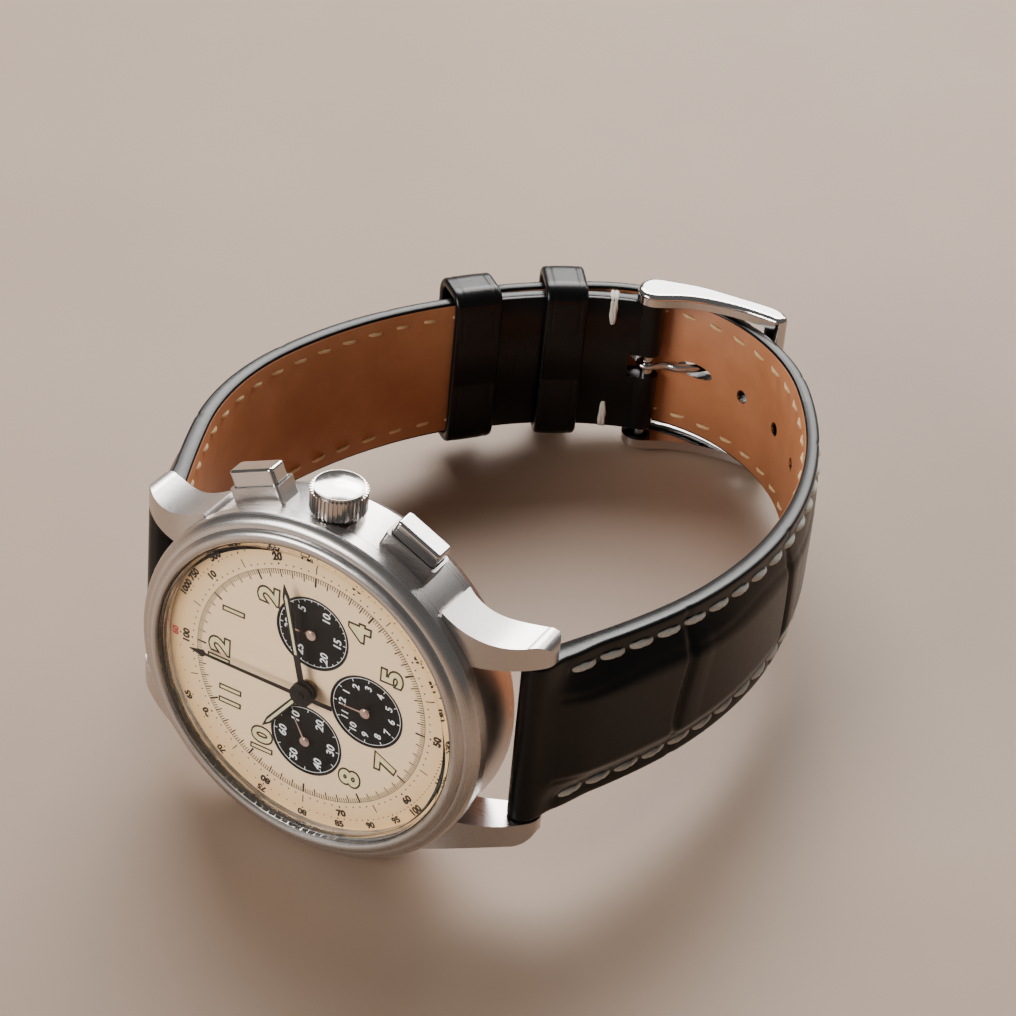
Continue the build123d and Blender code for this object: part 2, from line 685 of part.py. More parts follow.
# ------------------------------------------------------------------ movement: motion work
CANNON_TEETH = 12
CANNON_MODULE = 0.125
MINUTE_WHEEL_TEETH = 36
MINUTE_LEAVES = 10
HOUR_WHEEL_TEETH = 40
HOUR_MODULE = 0.12
CANNON_PHASE = 0.0
HOUR_PHASE = 0.0

with BuildPart() as cannon_pinion:
    disc(*CENTRE, 0.62, -1.2, 1.2)
    toothed(CANNON_TEETH, CANNON_MODULE, CANNON_PHASE, CENTRE, -1.2, -0.92)
    bore(*CENTRE, 0.36 + RUNNING, -1.3, 1.4)
cannon_pinion.part.label = "cannon_pinion"

minute_wheel_phase = meshed_phase(CANNON_TEETH, CANNON_PHASE, CENTRE, MINUTE_WHEEL_TEETH, MINUTE_WHEEL)
minute_leaf_phase = meshed_phase(HOUR_WHEEL_TEETH, HOUR_PHASE, CENTRE, MINUTE_LEAVES, MINUTE_WHEEL)
with BuildPart() as minute_wheel:
    toothed(MINUTE_WHEEL_TEETH, CANNON_MODULE, minute_wheel_phase, MINUTE_WHEEL, -1.15, -0.95)
    toothed(MINUTE_LEAVES, HOUR_MODULE, minute_leaf_phase, MINUTE_WHEEL, -0.95, -0.53)
    bore(*MINUTE_WHEEL, 0.25 + RUNNING, -1.3, -0.8)
minute_wheel.part.label = "minute_wheel"

with BuildPart() as hour_wheel:
    toothed(HOUR_WHEEL_TEETH, HOUR_MODULE, HOUR_PHASE, CENTRE, -0.78, -0.55)
    disc(*CENTRE, 0.9, -0.78, 0.7)
    bore(*CENTRE, 0.62 + RUNNING, -1.0, 0.8)
hour_wheel.part.label = "hour_wheel"

# ------------------------------------------------------------------ movement: going train
centre_leaf_phase = 0.0
centre_wheel_phase = 0.0
barrel_phase = meshed_phase(CENTRE_LEAVES, centre_leaf_phase, CENTRE, BARREL_TEETH, BARREL)
third_leaf_phase = meshed_phase(CENTRE_TEETH, centre_wheel_phase, CENTRE, THIRD_LEAVES, THIRD)
third_wheel_phase = 0.0
fourth_leaf_phase = meshed_phase(THIRD_TEETH, third_wheel_phase, THIRD, FOURTH_LEAVES, FOURTH)
fourth_wheel_phase = 0.0
escape_leaf_phase = meshed_phase(FOURTH_TEETH, fourth_wheel_phase, FOURTH, ESCAPE_LEAVES, ESCAPE)

with BuildPart() as barrel:
    disc(*BARREL, 4.6, -4.25, -2.45)
    toothed(BARREL_TEETH, BARREL_MODULE, barrel_phase, BARREL, -3.7, -3.4)
    bore(*BARREL, 4.3, -4.1, -2.6)
    disc(*BARREL, 0.6, -6.4, -2.42)
    disc(*BARREL, PIVOT, BRIDGE_TOP - PIVOT_DEPTH, PLATE_BOTTOM + PIVOT_DEPTH)
barrel.part.label = "barrel"

MAINSPRING_TURNS = 5
with BuildPart() as mainspring:
    for turn in range(MAINSPRING_TURNS):
        ring(*BARREL, 4.28 - 0.2 * turn, 4.28 - 0.2 * turn - 0.14, -4.0, -2.7)
mainspring.part.label = "mainspring"

with BuildPart() as centre_wheel:
    disc(*CENTRE, 0.36, -4.7, 0.9)
    toothed(CENTRE_LEAVES, BARREL_MODULE, centre_leaf_phase, CENTRE, -3.78, -3.32)
    toothed(CENTRE_TEETH, TRAIN_MODULE, centre_wheel_phase, CENTRE, -4.55, -4.4)
    crossings(*CENTRE, 3.3, 0.8, 2, -4.55, -4.4)
    bore(*CENTRE, PIVOT + RUNNING, -4.8, 1.0)
centre_wheel.part.label = "centre_wheel"

with BuildPart() as third_wheel:
    disc(*THIRD, 0.28, BRIDGE_TOP + 0.05, PLATE_BOTTOM - 0.05)
    disc(*THIRD, PIVOT, BRIDGE_TOP - PIVOT_DEPTH, PLATE_BOTTOM + PIVOT_DEPTH)
    toothed(THIRD_TEETH, TRAIN_MODULE, third_wheel_phase, THIRD, -2.85, -2.7)
    crossings(*THIRD, 3.1, 0.6, 2, -2.85, -2.7)
    toothed(THIRD_LEAVES, TRAIN_MODULE, third_leaf_phase, THIRD, -4.65, -4.3)
third_wheel.part.label = "third_wheel"

with BuildPart() as fourth_wheel:
    disc(*FOURTH, 0.28, BRIDGE_TOP + 0.05, PLATE_BOTTOM - 0.05)
    disc(*FOURTH, PIVOT, BRIDGE_TOP - PIVOT_DEPTH, BRIDGE_TOP + 0.1)
    disc(*FOURTH, 0.2, PLATE_BOTTOM - 0.1, 0.25)
    toothed(FOURTH_TEETH, ESCAPE_MODULE, fourth_wheel_phase, FOURTH, -3.35, -3.2)
    crossings(*FOURTH, 2.8, 0.7, 2, -3.35, -3.2)
    toothed(FOURTH_LEAVES, TRAIN_MODULE, fourth_leaf_phase, FOURTH, -2.95, -2.6)
fourth_wheel.part.label = "fourth_wheel"

ESCAPE_TEETH = 20
with BuildPart() as escape_wheel:
    disc(*ESCAPE, 0.18, BRIDGE_TOP + 0.05, PLATE_BOTTOM - 0.05)
    disc(*ESCAPE, PIVOT, BRIDGE_TOP - PIVOT_DEPTH, PLATE_BOTTOM + PIVOT_DEPTH)
    toothed(ESCAPE_LEAVES, ESCAPE_MODULE, escape_leaf_phase, ESCAPE, -3.45, -3.1)
    with BuildSketch(Plane.XY.offset(-3.75)):
        with BuildLine():
            # Saw teeth: an undercut face and a sloping back.
            Polyline(
                *[
                    (ESCAPE[0] + x, ESCAPE[1] + y)
                    for tooth in range(ESCAPE_TEETH)
                    for x, y in (
                        polar(0.76 * ESCAPE_RADIUS, (tooth + 0.1) * 360 / ESCAPE_TEETH),
                        polar(ESCAPE_RADIUS, (tooth - 0.1) * 360 / ESCAPE_TEETH),
                        polar(0.78 * ESCAPE_RADIUS, (tooth + 0.5) * 360 / ESCAPE_TEETH),
                    )
                ],
                close=True,
            )
        make_face()
    extrude(amount=0.15)
    crossings(*ESCAPE, 1.05, 0.45, 2, -3.75, -3.6)
escape_wheel.part.label = "escape_wheel"

with BuildPart() as pallet_fork:
    disc(*PALLET, 0.3, -4.05, PLATE_BOTTOM - 0.05)
    disc(*PALLET, PIVOT, -4.35, PLATE_BOTTOM + PIVOT_DEPTH)
    with BuildSketch(Plane.XY.offset(-3.8)):
        for lead in (38, -38):
            x, y = polar(ESCAPE_RADIUS + 0.38, 60 + lead)
            strip(PALLET, (ESCAPE[0] + x, ESCAPE[1] + y), 0.16)
        x, y = polar(2.2, 60)
        strip(PALLET, (PALLET[0] + x, PALLET[1] + y), 0.14)
    extrude(amount=0.2)
pallet_fork.part.label = "pallet_fork"

with BuildPart() as balance_wheel:
    ring(*BALANCE, BALANCE_RADIUS, BALANCE_RADIUS - 0.4, -5.2, -4.7)
    with BuildSketch(Plane.XY.offset(-5.05)):
        with Locations(BALANCE):
            Circle(0.5)
            for spoke in range(2):
                Rectangle(2 * BALANCE_RADIUS - 0.4, 0.3, rotation=90 * spoke)
    extrude(amount=0.2)
    disc(*BALANCE, 0.2, -5.55, PLATE_BOTTOM - 0.05)
    disc(*BALANCE, PIVOT, -5.9, PLATE_BOTTOM + PIVOT_DEPTH)
balance_wheel.part.label = "balance_wheel"

# ------------------------------------------------------------------ movement: chronograph
runner_phase = 0.0
minute_idler_phase = meshed_phase(CHRONO_LEAVES, runner_phase, CENTRE, MINUTE_IDLER_TEETH, MINUTE_IDLER)
minute_idler_leaf_phase = 0.0
minute_counter_phase = meshed_phase(
    CHRONO_LEAVES, minute_idler_leaf_phase, MINUTE_IDLER, MINUTE_COUNTER_TEETH, MINUTE_COUNTER
)
minute_counter_leaf_phase = 0.0
hour_idler_phase = meshed_phase(
    HOUR_IDLER_DRIVER, minute_counter_leaf_phase, MINUTE_COUNTER, HOUR_IDLER_TEETH, HOUR_IDLER
)
hour_idler_leaf_phase = 0.0
hour_counter_phase = meshed_phase(
    HOUR_COUNTER_DRIVER, hour_idler_leaf_phase, HOUR_IDLER, HOUR_COUNTER_TEETH, HOUR_COUNTER
)

with BuildPart() as chrono_runner:
    disc(*CENTRE, PIVOT, BRIDGE_TOP - PIVOT_DEPTH, 1.7)
    toothed(CHRONO_LEAVES, CHRONO_MODULE, runner_phase, CENTRE, -5.15, -4.82)
chrono_runner.part.label = "chrono_runner"

with BuildPart() as minute_idler:
    toothed(MINUTE_IDLER_TEETH, CHRONO_MODULE, minute_idler_phase, MINUTE_IDLER, -5.1, -4.9)
    crossings(*MINUTE_IDLER, 2.2, 0.8, 2, -5.1, -4.9)
    toothed(CHRONO_LEAVES, CHRONO_MODULE, minute_idler_leaf_phase, MINUTE_IDLER, -5.55, -5.1)
    bore(*MINUTE_IDLER, 0.25 + RUNNING, -5.6, -4.8)
minute_idler.part.label = "minute_idler"

with BuildPart() as minute_counter_wheel:
    disc(*MINUTE_COUNTER, 0.2, BRIDGE_TOP + 0.05, 0.25)
    disc(*MINUTE_COUNTER, PIVOT, BRIDGE_TOP - PIVOT_DEPTH, BRIDGE_TOP + 0.1)
    toothed(MINUTE_COUNTER_TEETH, CHRONO_MODULE, minute_counter_phase, MINUTE_COUNTER, -5.5, -5.3)
    crossings(*MINUTE_COUNTER, 2.7, 0.8, 2, -5.5, -5.3)
    toothed(HOUR_IDLER_DRIVER, HOUR_IDLER_MODULE, minute_counter_leaf_phase, MINUTE_COUNTER, -5.95, -5.6)
minute_counter_wheel.part.label = "minute_counter_wheel"

with BuildPart() as hour_idler:
    toothed(HOUR_IDLER_TEETH, HOUR_IDLER_MODULE, hour_idler_phase, HOUR_IDLER, -5.9, -5.7)
    crossings(*HOUR_IDLER, 3.2, 1.3, 2, -5.9, -5.7)
    toothed(HOUR_COUNTER_DRIVER, HOUR_COUNTER_MODULE, hour_idler_leaf_phase, HOUR_IDLER, -6.35, -5.9)
    bore(*HOUR_IDLER, 0.25 + RUNNING, -6.4, -5.6)
hour_idler.part.label = "hour_idler"

with BuildPart() as hour_counter_wheel:
    disc(*HOUR_COUNTER, 0.2, BRIDGE_TOP + 0.05, 0.25)
    disc(*HOUR_COUNTER, PIVOT, BRIDGE_TOP - PIVOT_DEPTH, BRIDGE_TOP + 0.1)
    toothed(HOUR_COUNTER_TEETH, HOUR_COUNTER_MODULE, hour_counter_phase, HOUR_COUNTER, -6.3, -6.1)
    crossings(*HOUR_COUNTER, 3.4, 0.8, 2, -6.3, -6.1)
hour_counter_wheel.part.label = "hour_counter_wheel"

with BuildPart() as column_wheel:
    disc(*COLUMN_WHEEL, 1.1, -3.5, -3.0)
    with BuildSketch(Plane.XY.offset(-4.5)):
        with Locations(COLUMN_WHEEL):
            with PolarLocations(0.8, 6):
                Rectangle(0.4, 0.36)
    extrude(amount=1.0)
    bore(*COLUMN_WHEEL, 0.35 + RUNNING, -4.6, -2.9)
column_wheel.part.label = "column_wheel"

PAD_RADIUS = 13.5
lever_pad = polar(PAD_RADIUS, PUSHER_ANGLE)
hammer_pad = polar(PAD_RADIUS, -PUSHER_ANGLE)
with BuildPart() as operating_lever:
    with BuildSketch(Plane.XY.offset(LEVER_LOW)):
        strip(LEVER_PIVOT, lever_pad, 0.6)
        with Locations(LEVER_PIVOT):
            Circle(1.1)
            Circle(0.5 + RUNNING, mode=Mode.SUBTRACT)
    extrude(amount=LEVER_HIGH - LEVER_LOW)
operating_lever.part.label = "operating_lever"

with BuildPart() as reset_hammer:
    with BuildSketch(Plane.XY.offset(LEVER_LOW)):
        strip(HAMMER_PIVOT, hammer_pad, 0.6)
        strip(HAMMER_PIVOT, (5.2, -7.2), 0.5)
        with Locations((5.2, -7.2)):
            Circle(0.9)
        with Locations(HAMMER_PIVOT):
            Circle(1.1)
            Circle(0.5 + RUNNING, mode=Mode.SUBTRACT)
    extrude(amount=LEVER_HIGH - LEVER_LOW)
reset_hammer.part.label = "reset_hammer"

ROTOR_TOP = -7.35
with BuildPart() as rotor:
    with BuildSketch(Plane.XY.offset(ROTOR_TOP - 0.3)):
        Circle(13.6)
        with Locations((8.0, 0)):
            Rectangle(16, 30, mode=Mode.SUBTRACT)
        Circle(2.4)
    extrude(amount=0.3)
    with BuildSketch(Plane.XY.offset(-8.4)):
        Circle(13.6)
        Circle(11.4, mode=Mode.SUBTRACT)
        with Locations((8.0, 0)):
            Rectangle(16, 30, mode=Mode.SUBTRACT)
    extrude(amount=8.4 + ROTOR_TOP - 0.3)
    bore(*CENTRE, 0.9 + RUNNING, -9.0, -7.0)
rotor.part.label = "rotor"

# ------------------------------------------------------------------ hands
HOUR_ANGLE = 306.4       # clockwise from 12
MINUTE_ANGLE = 76.5
SMALL_SECONDS_ANGLE = 62.4
HOUR_HAND_LEVEL = 0.55
MINUTE_HAND_LEVEL = 1.06
CHRONO_HAND_LEVEL = 1.55
COUNTER_HAND_LEVEL = 0.22
COUNTER_HAND_LENGTH = 2.85


def pointing(clockwise, level, centre=(0.0, 0.0)):
    """Plane whose X axis points the way a hand points, from an angle clockwise from 12."""
    heading = (*polar(1.0, 90 - clockwise), 0)
    return Plane(origin=(*centre, level), x_dir=heading, z_dir=(0, 0, 1))


def pencil_hand(clockwise, level, thickness, boss, hole, length, width):
    """Adds a parallel hand with a pointed tip and a round boss to the part being built."""
    with BuildSketch(pointing(clockwise, level)) as outline:
        with BuildLine():
            Polyline(
                (0, -0.42 * width),
                (length - 1.8 * width, -0.5 * width),
                (length, 0),
                (length - 1.8 * width, 0.5 * width),
                (0, 0.42 * width),
                close=True,
            )
        make_face()
        Circle(boss)
        Circle(hole, mode=Mode.SUBTRACT)
    extrude(outline.sketch, amount=thickness)


def counter_hand(clockwise, centre):
    """Adds a thin straight pointer with a round boss on a sub-dial to the part being built."""
    with BuildSketch(pointing(clockwise, COUNTER_HAND_LEVEL, centre)) as outline:
        with BuildLine():
            Polyline(
                (0, -0.11),
                (COUNTER_HAND_LENGTH, -0.06),
                (COUNTER_HAND_LENGTH, 0.06),
                (0, 0.11),
                close=True,
            )
        make_face()
        Circle(0.57)
        Circle(0.2, mode=Mode.SUBTRACT)
    extrude(outline.sketch, amount=0.12)
    disc(*centre, 0.38, 0.25, 0.42)
    bore(*centre, 0.2, 0.0, 0.25)


with BuildPart() as hour_hand:
    pencil_hand(HOUR_ANGLE, HOUR_HAND_LEVEL, 0.15, 1.3, 0.9, 8.4, 0.8)
hour_hand.part.label = "hour_hand"

with BuildPart() as minute_hand:
    pencil_hand(MINUTE_ANGLE, MINUTE_HAND_LEVEL, 0.14, 1.35, 0.62, 12.7, 0.78)
minute_hand.part.label = "minute_hand"

# Half of the chronograph hand's outline, from its tail to its arrow's tip.
chrono_half = [(-3.75, 0.26), (0, 0.22), (11.6, 0.13), (11.9, 0.44), (13.6, 0)]
with BuildPart() as chrono_hand:
    with BuildSketch(pointing(0.0, CHRONO_HAND_LEVEL)):
        with BuildLine():
            Polyline(*chrono_half, *[(x, -y) for x, y in chrono_half[-2::-1]], close=True)
        make_face()
        Circle(1.3)
    extrude(amount=0.12)
    disc(*CENTRE, 0.45, 1.4, 1.8)
    bore(*CENTRE, PIVOT, 1.3, 1.7)
chrono_hand.part.label = "chrono_hand"

with BuildPart() as small_seconds_hand:
    counter_hand(SMALL_SECONDS_ANGLE, FOURTH)
small_seconds_hand.part.label = "small_seconds_hand"

with BuildPart() as minute_counter_hand:
    counter_hand(0.0, MINUTE_COUNTER)
minute_counter_hand.part.label = "minute_counter_hand"

with BuildPart() as hour_counter_hand:
    counter_hand(0.0, HOUR_COUNTER)
hour_counter_hand.part.label = "hour_counter_hand"

# ------------------------------------------------------------------ strap
SHORT_LENGTH = strap_length(SHORT_ARCS)
LONG_LENGTH = strap_length(LONG_ARCS)
SLOT_HALF_WIDTH = 1.5
BUCKLE_BAR = strap_at("short", SHORT_LENGTH, 0.9)[0]
TONGUE_SLOT_RADIUS = 2.3
BUCKLE_LOOP_RADIUS = 1.35
HOLES = [FIRST_HOLE + HOLE_PITCH * number for number in range(HOLE_COUNT)]


def strap_outline(piece, length, thickness, inner, outer):
    """Draws a strap piece's side view between two depths; an outer depth of None follows the
    leather's own thickness."""
    near = []
    far = []
    for step in range(17):
        place = length * step / 16
        depth = between(thickness, place) if outer is None else outer
        near.append(strap_at(piece, place, inner)[0])
        far.append(strap_at(piece, place, depth)[0])
    with BuildLine() as outline:
        under = Spline(*near)
        over = Spline(*far)
        Line(under @ 0, over @ 0)
        Line(under @ 1, over @ 1)
    make_face(outline.edges())


def taper_to_width():
    """Keeps the part being built within the strap's width, which narrows away from the lugs."""
    half_lug, half_end = STRAP_LUG_WIDTH / 2, STRAP_END_WIDTH / 2
    with BuildSketch(Plane.XZ.offset(-40)) as outline:
        with BuildLine():
            Polyline(
                (-half_lug, 0),
                (-half_lug, -12),
                (-half_end, -66),
                (-half_end, -90),
                (half_end, -90),
                (half_end, -66),
                (half_lug, -12),
                (half_lug, 0),
                close=True,
            )
        make_face()
    extrude(outline.sketch, amount=80, mode=Mode.INTERSECT)


def across(piece, distance, depth=0.0):
    """Plane standing across a strap piece: X along the width, Z along the strap."""
    (y, z), heading = strap_at(piece, distance, depth)
    along = (0, *polar(1.0, heading))
    return Plane(origin=(0, y, z), x_dir=(1, 0, 0), z_dir=along)


def outward(piece, distance):
    """Plane lying on a strap piece's inner face, its Z pointing out of the loop."""
    (y, z), heading = strap_at(piece, distance)
    side = 1 if piece == "short" else -1
    normal = (0, -side * sin(radians(heading)), side * cos(radians(heading)))
    return Plane(origin=(0, y, z), x_dir=(1, 0, 0), z_dir=normal)


def pin_holes():
    """Cuts the row of pin holes through the long piece; the one in use is drawn out by the pin."""
    for number, place in enumerate(HOLES):
        with BuildSketch(outward("long", place).offset(-2.0)) as outline:
            if number == BUCKLED_HOLE:
                SlotOverall(5.8, 1.9, rotation=90)
            else:
                Circle(0.85)
        extrude(outline.sketch, amount=6.0, mode=Mode.SUBTRACT)


def round_tip():
    """Rounds the far end of the long piece to a half ellipse."""
    with BuildSketch(outward("long", LONG_LENGTH - TIP_LENGTH).offset(-4.0)) as outline:
        with Locations((0, -TIP_LENGTH)):
            Rectangle(STRAP_LUG_WIDTH + 2, 2 * TIP_LENGTH)
        Ellipse(STRAP_END_WIDTH / 2, TIP_LENGTH, mode=Mode.SUBTRACT)
    extrude(outline.sketch, amount=8.0, mode=Mode.SUBTRACT)


def tongue_slot():
    """Cuts the slot that the buckle's tongue turns in."""
    with BuildSketch(Plane.YZ) as outline:
        with Locations(BUCKLE_BAR):
            Circle(TONGUE_SLOT_RADIUS)
    extrude(outline.sketch, amount=SLOT_HALF_WIDTH, both=True, mode=Mode.SUBTRACT)


straps = []
for piece, thickness, length in (
    ("short", SHORT_THICKNESS, SHORT_LENGTH),
    ("long", LONG_THICKNESS, LONG_LENGTH),
):
    side = 1 if piece == "short" else -1
    leather_length = length - (0.9 if piece == "short" else 0.0)
    with BuildPart() as leather:
        with BuildSketch(Plane.YZ):
            strap_outline(piece, leather_length, thickness, LINING, None)
            with Locations((side * BAR_AT, BAR_LEVEL)):
                Circle(ROLL_RADIUS)
            if piece == "short":
                with Locations(BUCKLE_BAR):
                    Circle(BUCKLE_LOOP_RADIUS)
        extrude(amount=STRAP_LUG_WIDTH / 2, both=True)
        with BuildSketch(Plane.YZ):
            strap_outline(piece, leather_length, thickness, 0.0, LINING)
        extrude(amount=STRAP_LUG_WIDTH / 2 + 1, both=True, mode=Mode.SUBTRACT)
        with BuildSketch(Plane.YZ):
            with Locations((side * BAR_AT, BAR_LEVEL)):
                Circle(BAR_RADIUS + 0.02)
            if piece == "short":
                with Locations(BUCKLE_BAR):
                    Circle(BAR_RADIUS + 0.02)
        extrude(amount=STRAP_LUG_WIDTH, both=True, mode=Mode.SUBTRACT)
        taper_to_width()
        if piece == "long":
            pin_holes()
            round_tip()
        else:
            tongue_slot()
    leather.part.label = f"strap_{piece}"
    straps.append(leather)
    with BuildPart() as lining:
        with BuildSketch(Plane.YZ):
            strap_outline(piece, leather_length, thickness, 0.0, LINING)
        extrude(amount=STRAP_LUG_WIDTH / 2, both=True)
        taper_to_width()
        with BuildSketch(Plane.YZ):
            with Locations((side * BAR_AT, BAR_LEVEL)):
                Circle(ROLL_RADIUS)
            if piece == "short":
                with Locations(BUCKLE_BAR):
                    Circle(BUCKLE_LOOP_RADIUS)
        extrude(amount=STRAP_LUG_WIDTH, both=True, mode=Mode.SUBTRACT)
        if piece == "long":
            pin_holes()
            round_tip()
        else:
            tongue_slot()
    lining.part.label = f"strap_{piece}_lining"
    straps.append(lining)

# The keepers are leather bands round both layers of strap.
keepers = []
STACK = between(SHORT_THICKNESS, FREE_KEEPER_AT) + 0.15 + between(LONG_THICKNESS, 110.0)
KEEPER_INSIDE = STRAP_END_WIDTH + 2 * KEEPER_ROOM + 0.3
for name, place, width in (
    ("free_keeper", FREE_KEEPER_AT, FREE_KEEPER_WIDTH),
    ("fixed_keeper", FIXED_KEEPER_AT, FIXED_KEEPER_WIDTH),
):
    room = KEEPER_ROOM + (0.45 if name == "fixed_keeper" else 0.0)
    with BuildPart() as keeper:
        with BuildSketch(across("short", place, STACK / 2 + room / 2 - 0.1)):
            inside_height = STACK + 2 * room
            RectangleRounded(KEEPER_INSIDE + 2 * KEEPER_WALL, inside_height + 2 * KEEPER_WALL, 1.3)
            RectangleRounded(KEEPER_INSIDE, inside_height, 0.4, mode=Mode.SUBTRACT)
        extrude(amount=width / 2, both=True)
        fillet(keeper.edges().filter_by(GeomType.CIRCLE, reverse=True).group_by(Axis.X)[-1], 0.25)
    keeper.part.label = name
    keepers.append(keeper)

with BuildPart() as spring_bars:
    for y, z, reach, body in (
        (BAR_AT, BAR_LEVEL, LUG_GAP / 2 + 0.8, LUG_GAP / 2 - 0.05),
        (-BAR_AT, BAR_LEVEL, LUG_GAP / 2 + 0.8, LUG_GAP / 2 - 0.05),
        (*BUCKLE_BAR, BUCKLE_HALF_WIDTH - 0.5, BUCKLE_HALF_WIDTH - BUCKLE_ARM - 0.05),
    ):
        with BuildSketch(Plane.YZ):
            with Locations((y, z)):
                Circle(BAR_RADIUS)
        extrude(amount=body, both=True)
        with BuildSketch(Plane.YZ):
            with Locations((y, z)):
                Circle(BAR_TIP_RADIUS)
        extrude(amount=reach, both=True)
spring_bars.part.label = "spring_bars"

# ------------------------------------------------------------------ buckle
# The frame arches over the long piece; its crossbar lies just outside the leather.
crossbar_place = 77.0
crossbar_depth = between(LONG_THICKNESS, crossbar_place) + 1.35
CROSSBAR = strap_at("long", crossbar_place, crossbar_depth)[0]
ARCH = ((BUCKLE_BAR[0] + CROSSBAR[0]) / 2, min(BUCKLE_BAR[1], CROSSBAR[1]) - 0.35)
# An arm's side view, round from the crossbar: broad at the spring bar, slim at the crossbar.
arm_outline = [
    (-13.4, -77.05),
    (-8.5, -76.85),
    (-5.6, -76.2),
    (-2.7, -75.0),
    (-0.6, -73.5),
    (1.2, -72.8),
    (2.7, -73.6),
    (3.2, -75.2),
    (2.5, -76.7),
    (0.4, -77.7),
    (-2.7, -78.7),
    (-7.5, -79.3),
    (-11.5, -79.65),
    (-13.6, -79.25),
    (-14.45, -78.1),
]

with BuildPart() as buckle_frame:
    with BuildSketch(Plane.YZ):
        with BuildLine():
            Spline(*arm_outline, periodic=True)
        make_face()
    extrude(amount=BUCKLE_HALF_WIDTH, both=True)
    outer_edges = buckle_frame.edges().group_by(Axis.X)
    fillet(outer_edges[0] + outer_edges[-1], 0.6)
    # The window between the arms, back to the crossbar.
    with BuildSketch(Plane.YZ):
        with Locations((CROSSBAR[0] + 16.1, CROSSBAR[1])):
            Rectangle(30, 20)
    extrude(amount=BUCKLE_HALF_WIDTH - BUCKLE_ARM, both=True, mode=Mode.SUBTRACT)
    with BuildSketch(Plane.YZ):
        with Locations(BUCKLE_BAR):
            Circle(BAR_TIP_RADIUS + RUNNING)
    extrude(amount=BUCKLE_HALF_WIDTH - 0.4, both=True, mode=Mode.SUBTRACT)
    # Room for the leather under the crossbar.
    with BuildSketch(Plane.YZ):
        leather_face = between(LONG_THICKNESS, crossbar_place) + 0.12
        clear = [strap_at("long", 68 + 2 * step, leather_face)[0] for step in range(9)]
        with BuildLine():
            surface = Spline(*clear)
            inward = Vector(0, 12)
            Polyline(surface @ 1, surface @ 1 + inward, surface @ 0 + inward, surface @ 0)
        make_face()
    extrude(amount=BUCKLE_HALF_WIDTH - BUCKLE_ARM, both=True, mode=Mode.SUBTRACT)
buckle_frame.part.label = "buckle_frame"

with BuildPart() as buckle_tongue:
    hole_place = HOLES[BUCKLED_HOLE]
    thick = between(LONG_THICKNESS, hole_place)
    with BuildSketch(Plane.YZ):
        with Locations(BUCKLE_BAR):
            Circle(TONGUE_EYE_RADIUS)
        with BuildLine():
            # Under the strap from the bar, out through the hole and over the crossbar.
            lower = [
                strap_at("long", hole_place + 6.3, -0.5 - 2 * TONGUE_RADIUS)[0],
                strap_at("long", hole_place + 2.4, -0.45 - 2 * TONGUE_RADIUS)[0],
                strap_at("long", hole_place - 0.4, -0.9)[0],
                strap_at("long", hole_place - 1.35, thick + 0.5)[0],
                strap_at("long", crossbar_place + 1.6, thick + 2.62)[0],
                strap_at("long", crossbar_place - 1.2, thick + 2.6)[0],
            ]
            upper = [
                strap_at("long", crossbar_place - 1.2, thick + 3.5)[0],
                strap_at("long", crossbar_place + 2.2, thick + 3.75)[0],
                strap_at("long", hole_place + 0.6, thick + 1.6)[0],
                strap_at("long", hole_place + 1.5, 0.4)[0],
                strap_at("long", hole_place + 3.4, -0.45)[0],
                strap_at("long", hole_place + 6.3, -0.42)[0],
            ]
            Polyline(*lower, *upper, close=True)
        make_face()
    extrude(amount=TONGUE_RADIUS, both=True)
    with BuildSketch(Plane.YZ):
        with Locations(BUCKLE_BAR):
            Circle(BAR_RADIUS + RUNNING)
    extrude(amount=2, both=True, mode=Mode.SUBTRACT)
buckle_tongue.part.label = "buckle_tongue"

# ------------------------------------------------------------------ laying the watch down
pieces = [
    mid_case, bezel, crystal, crystal_gasket, caseback, caseback_gasket, movement_ring, dial, subdials,
    dial_flange, crown_tube, crown, stem, winding_pinion, pusher_guards, *pushers, mainplate, top_bridge,
    bridge_screws, balance_cock, hairspring, pallet_bridge, cannon_pinion, minute_wheel, hour_wheel, barrel,
    mainspring, centre_wheel, third_wheel, fourth_wheel, escape_wheel, pallet_fork, balance_wheel,
    chrono_runner, minute_idler, minute_counter_wheel, hour_idler, hour_counter_wheel, column_wheel,
    operating_lever, reset_hammer, rotor, hour_hand, minute_hand, chrono_hand, small_seconds_hand,
    minute_counter_hand, hour_counter_hand, *straps, *keepers, spring_bars, buckle_frame, buckle_tongue,
]
# The dial leans back by the angle at which the case's back rim and the buckle both touch the table.
lean = atan2(CASE_RADIUS - BUCKLE_HALF_WIDTH, RIM_BOTTOM - ARCH[1])
up_the_dial = (0, sin(lean), cos(lean))
out_of_the_dial = (0, -cos(lean), sin(lean))
on_its_side = Plane(origin=(0, 0, 0), x_dir=up_the_dial, z_dir=out_of_the_dial)
whole = Compound([piece.part.moved(on_its_side.location) for piece in pieces]).bounding_box()
resting = Location((-whole.center().X, -whole.center().Y, -whole.min.Z)) * on_its_side.location

for piece in pieces:
    laid = piece.part.moved(resting)
    laid.label = piece.part.label
    export_step(laid, f"parts/{laid.label}.step")
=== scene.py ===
"""Looks for a chronograph wristwatch lying on its side: leather, steel, dial printing and light.

Shapes are worked out dial-up, in millimetres: X towards 3 o'clock, Y towards 12 o'clock, Z out of
the dial with the dial's face at 0. WATCH turns that space into the frame's, in metres.
"""
import json
import math

import bmesh
import bpy
from mathutils import Matrix, Vector


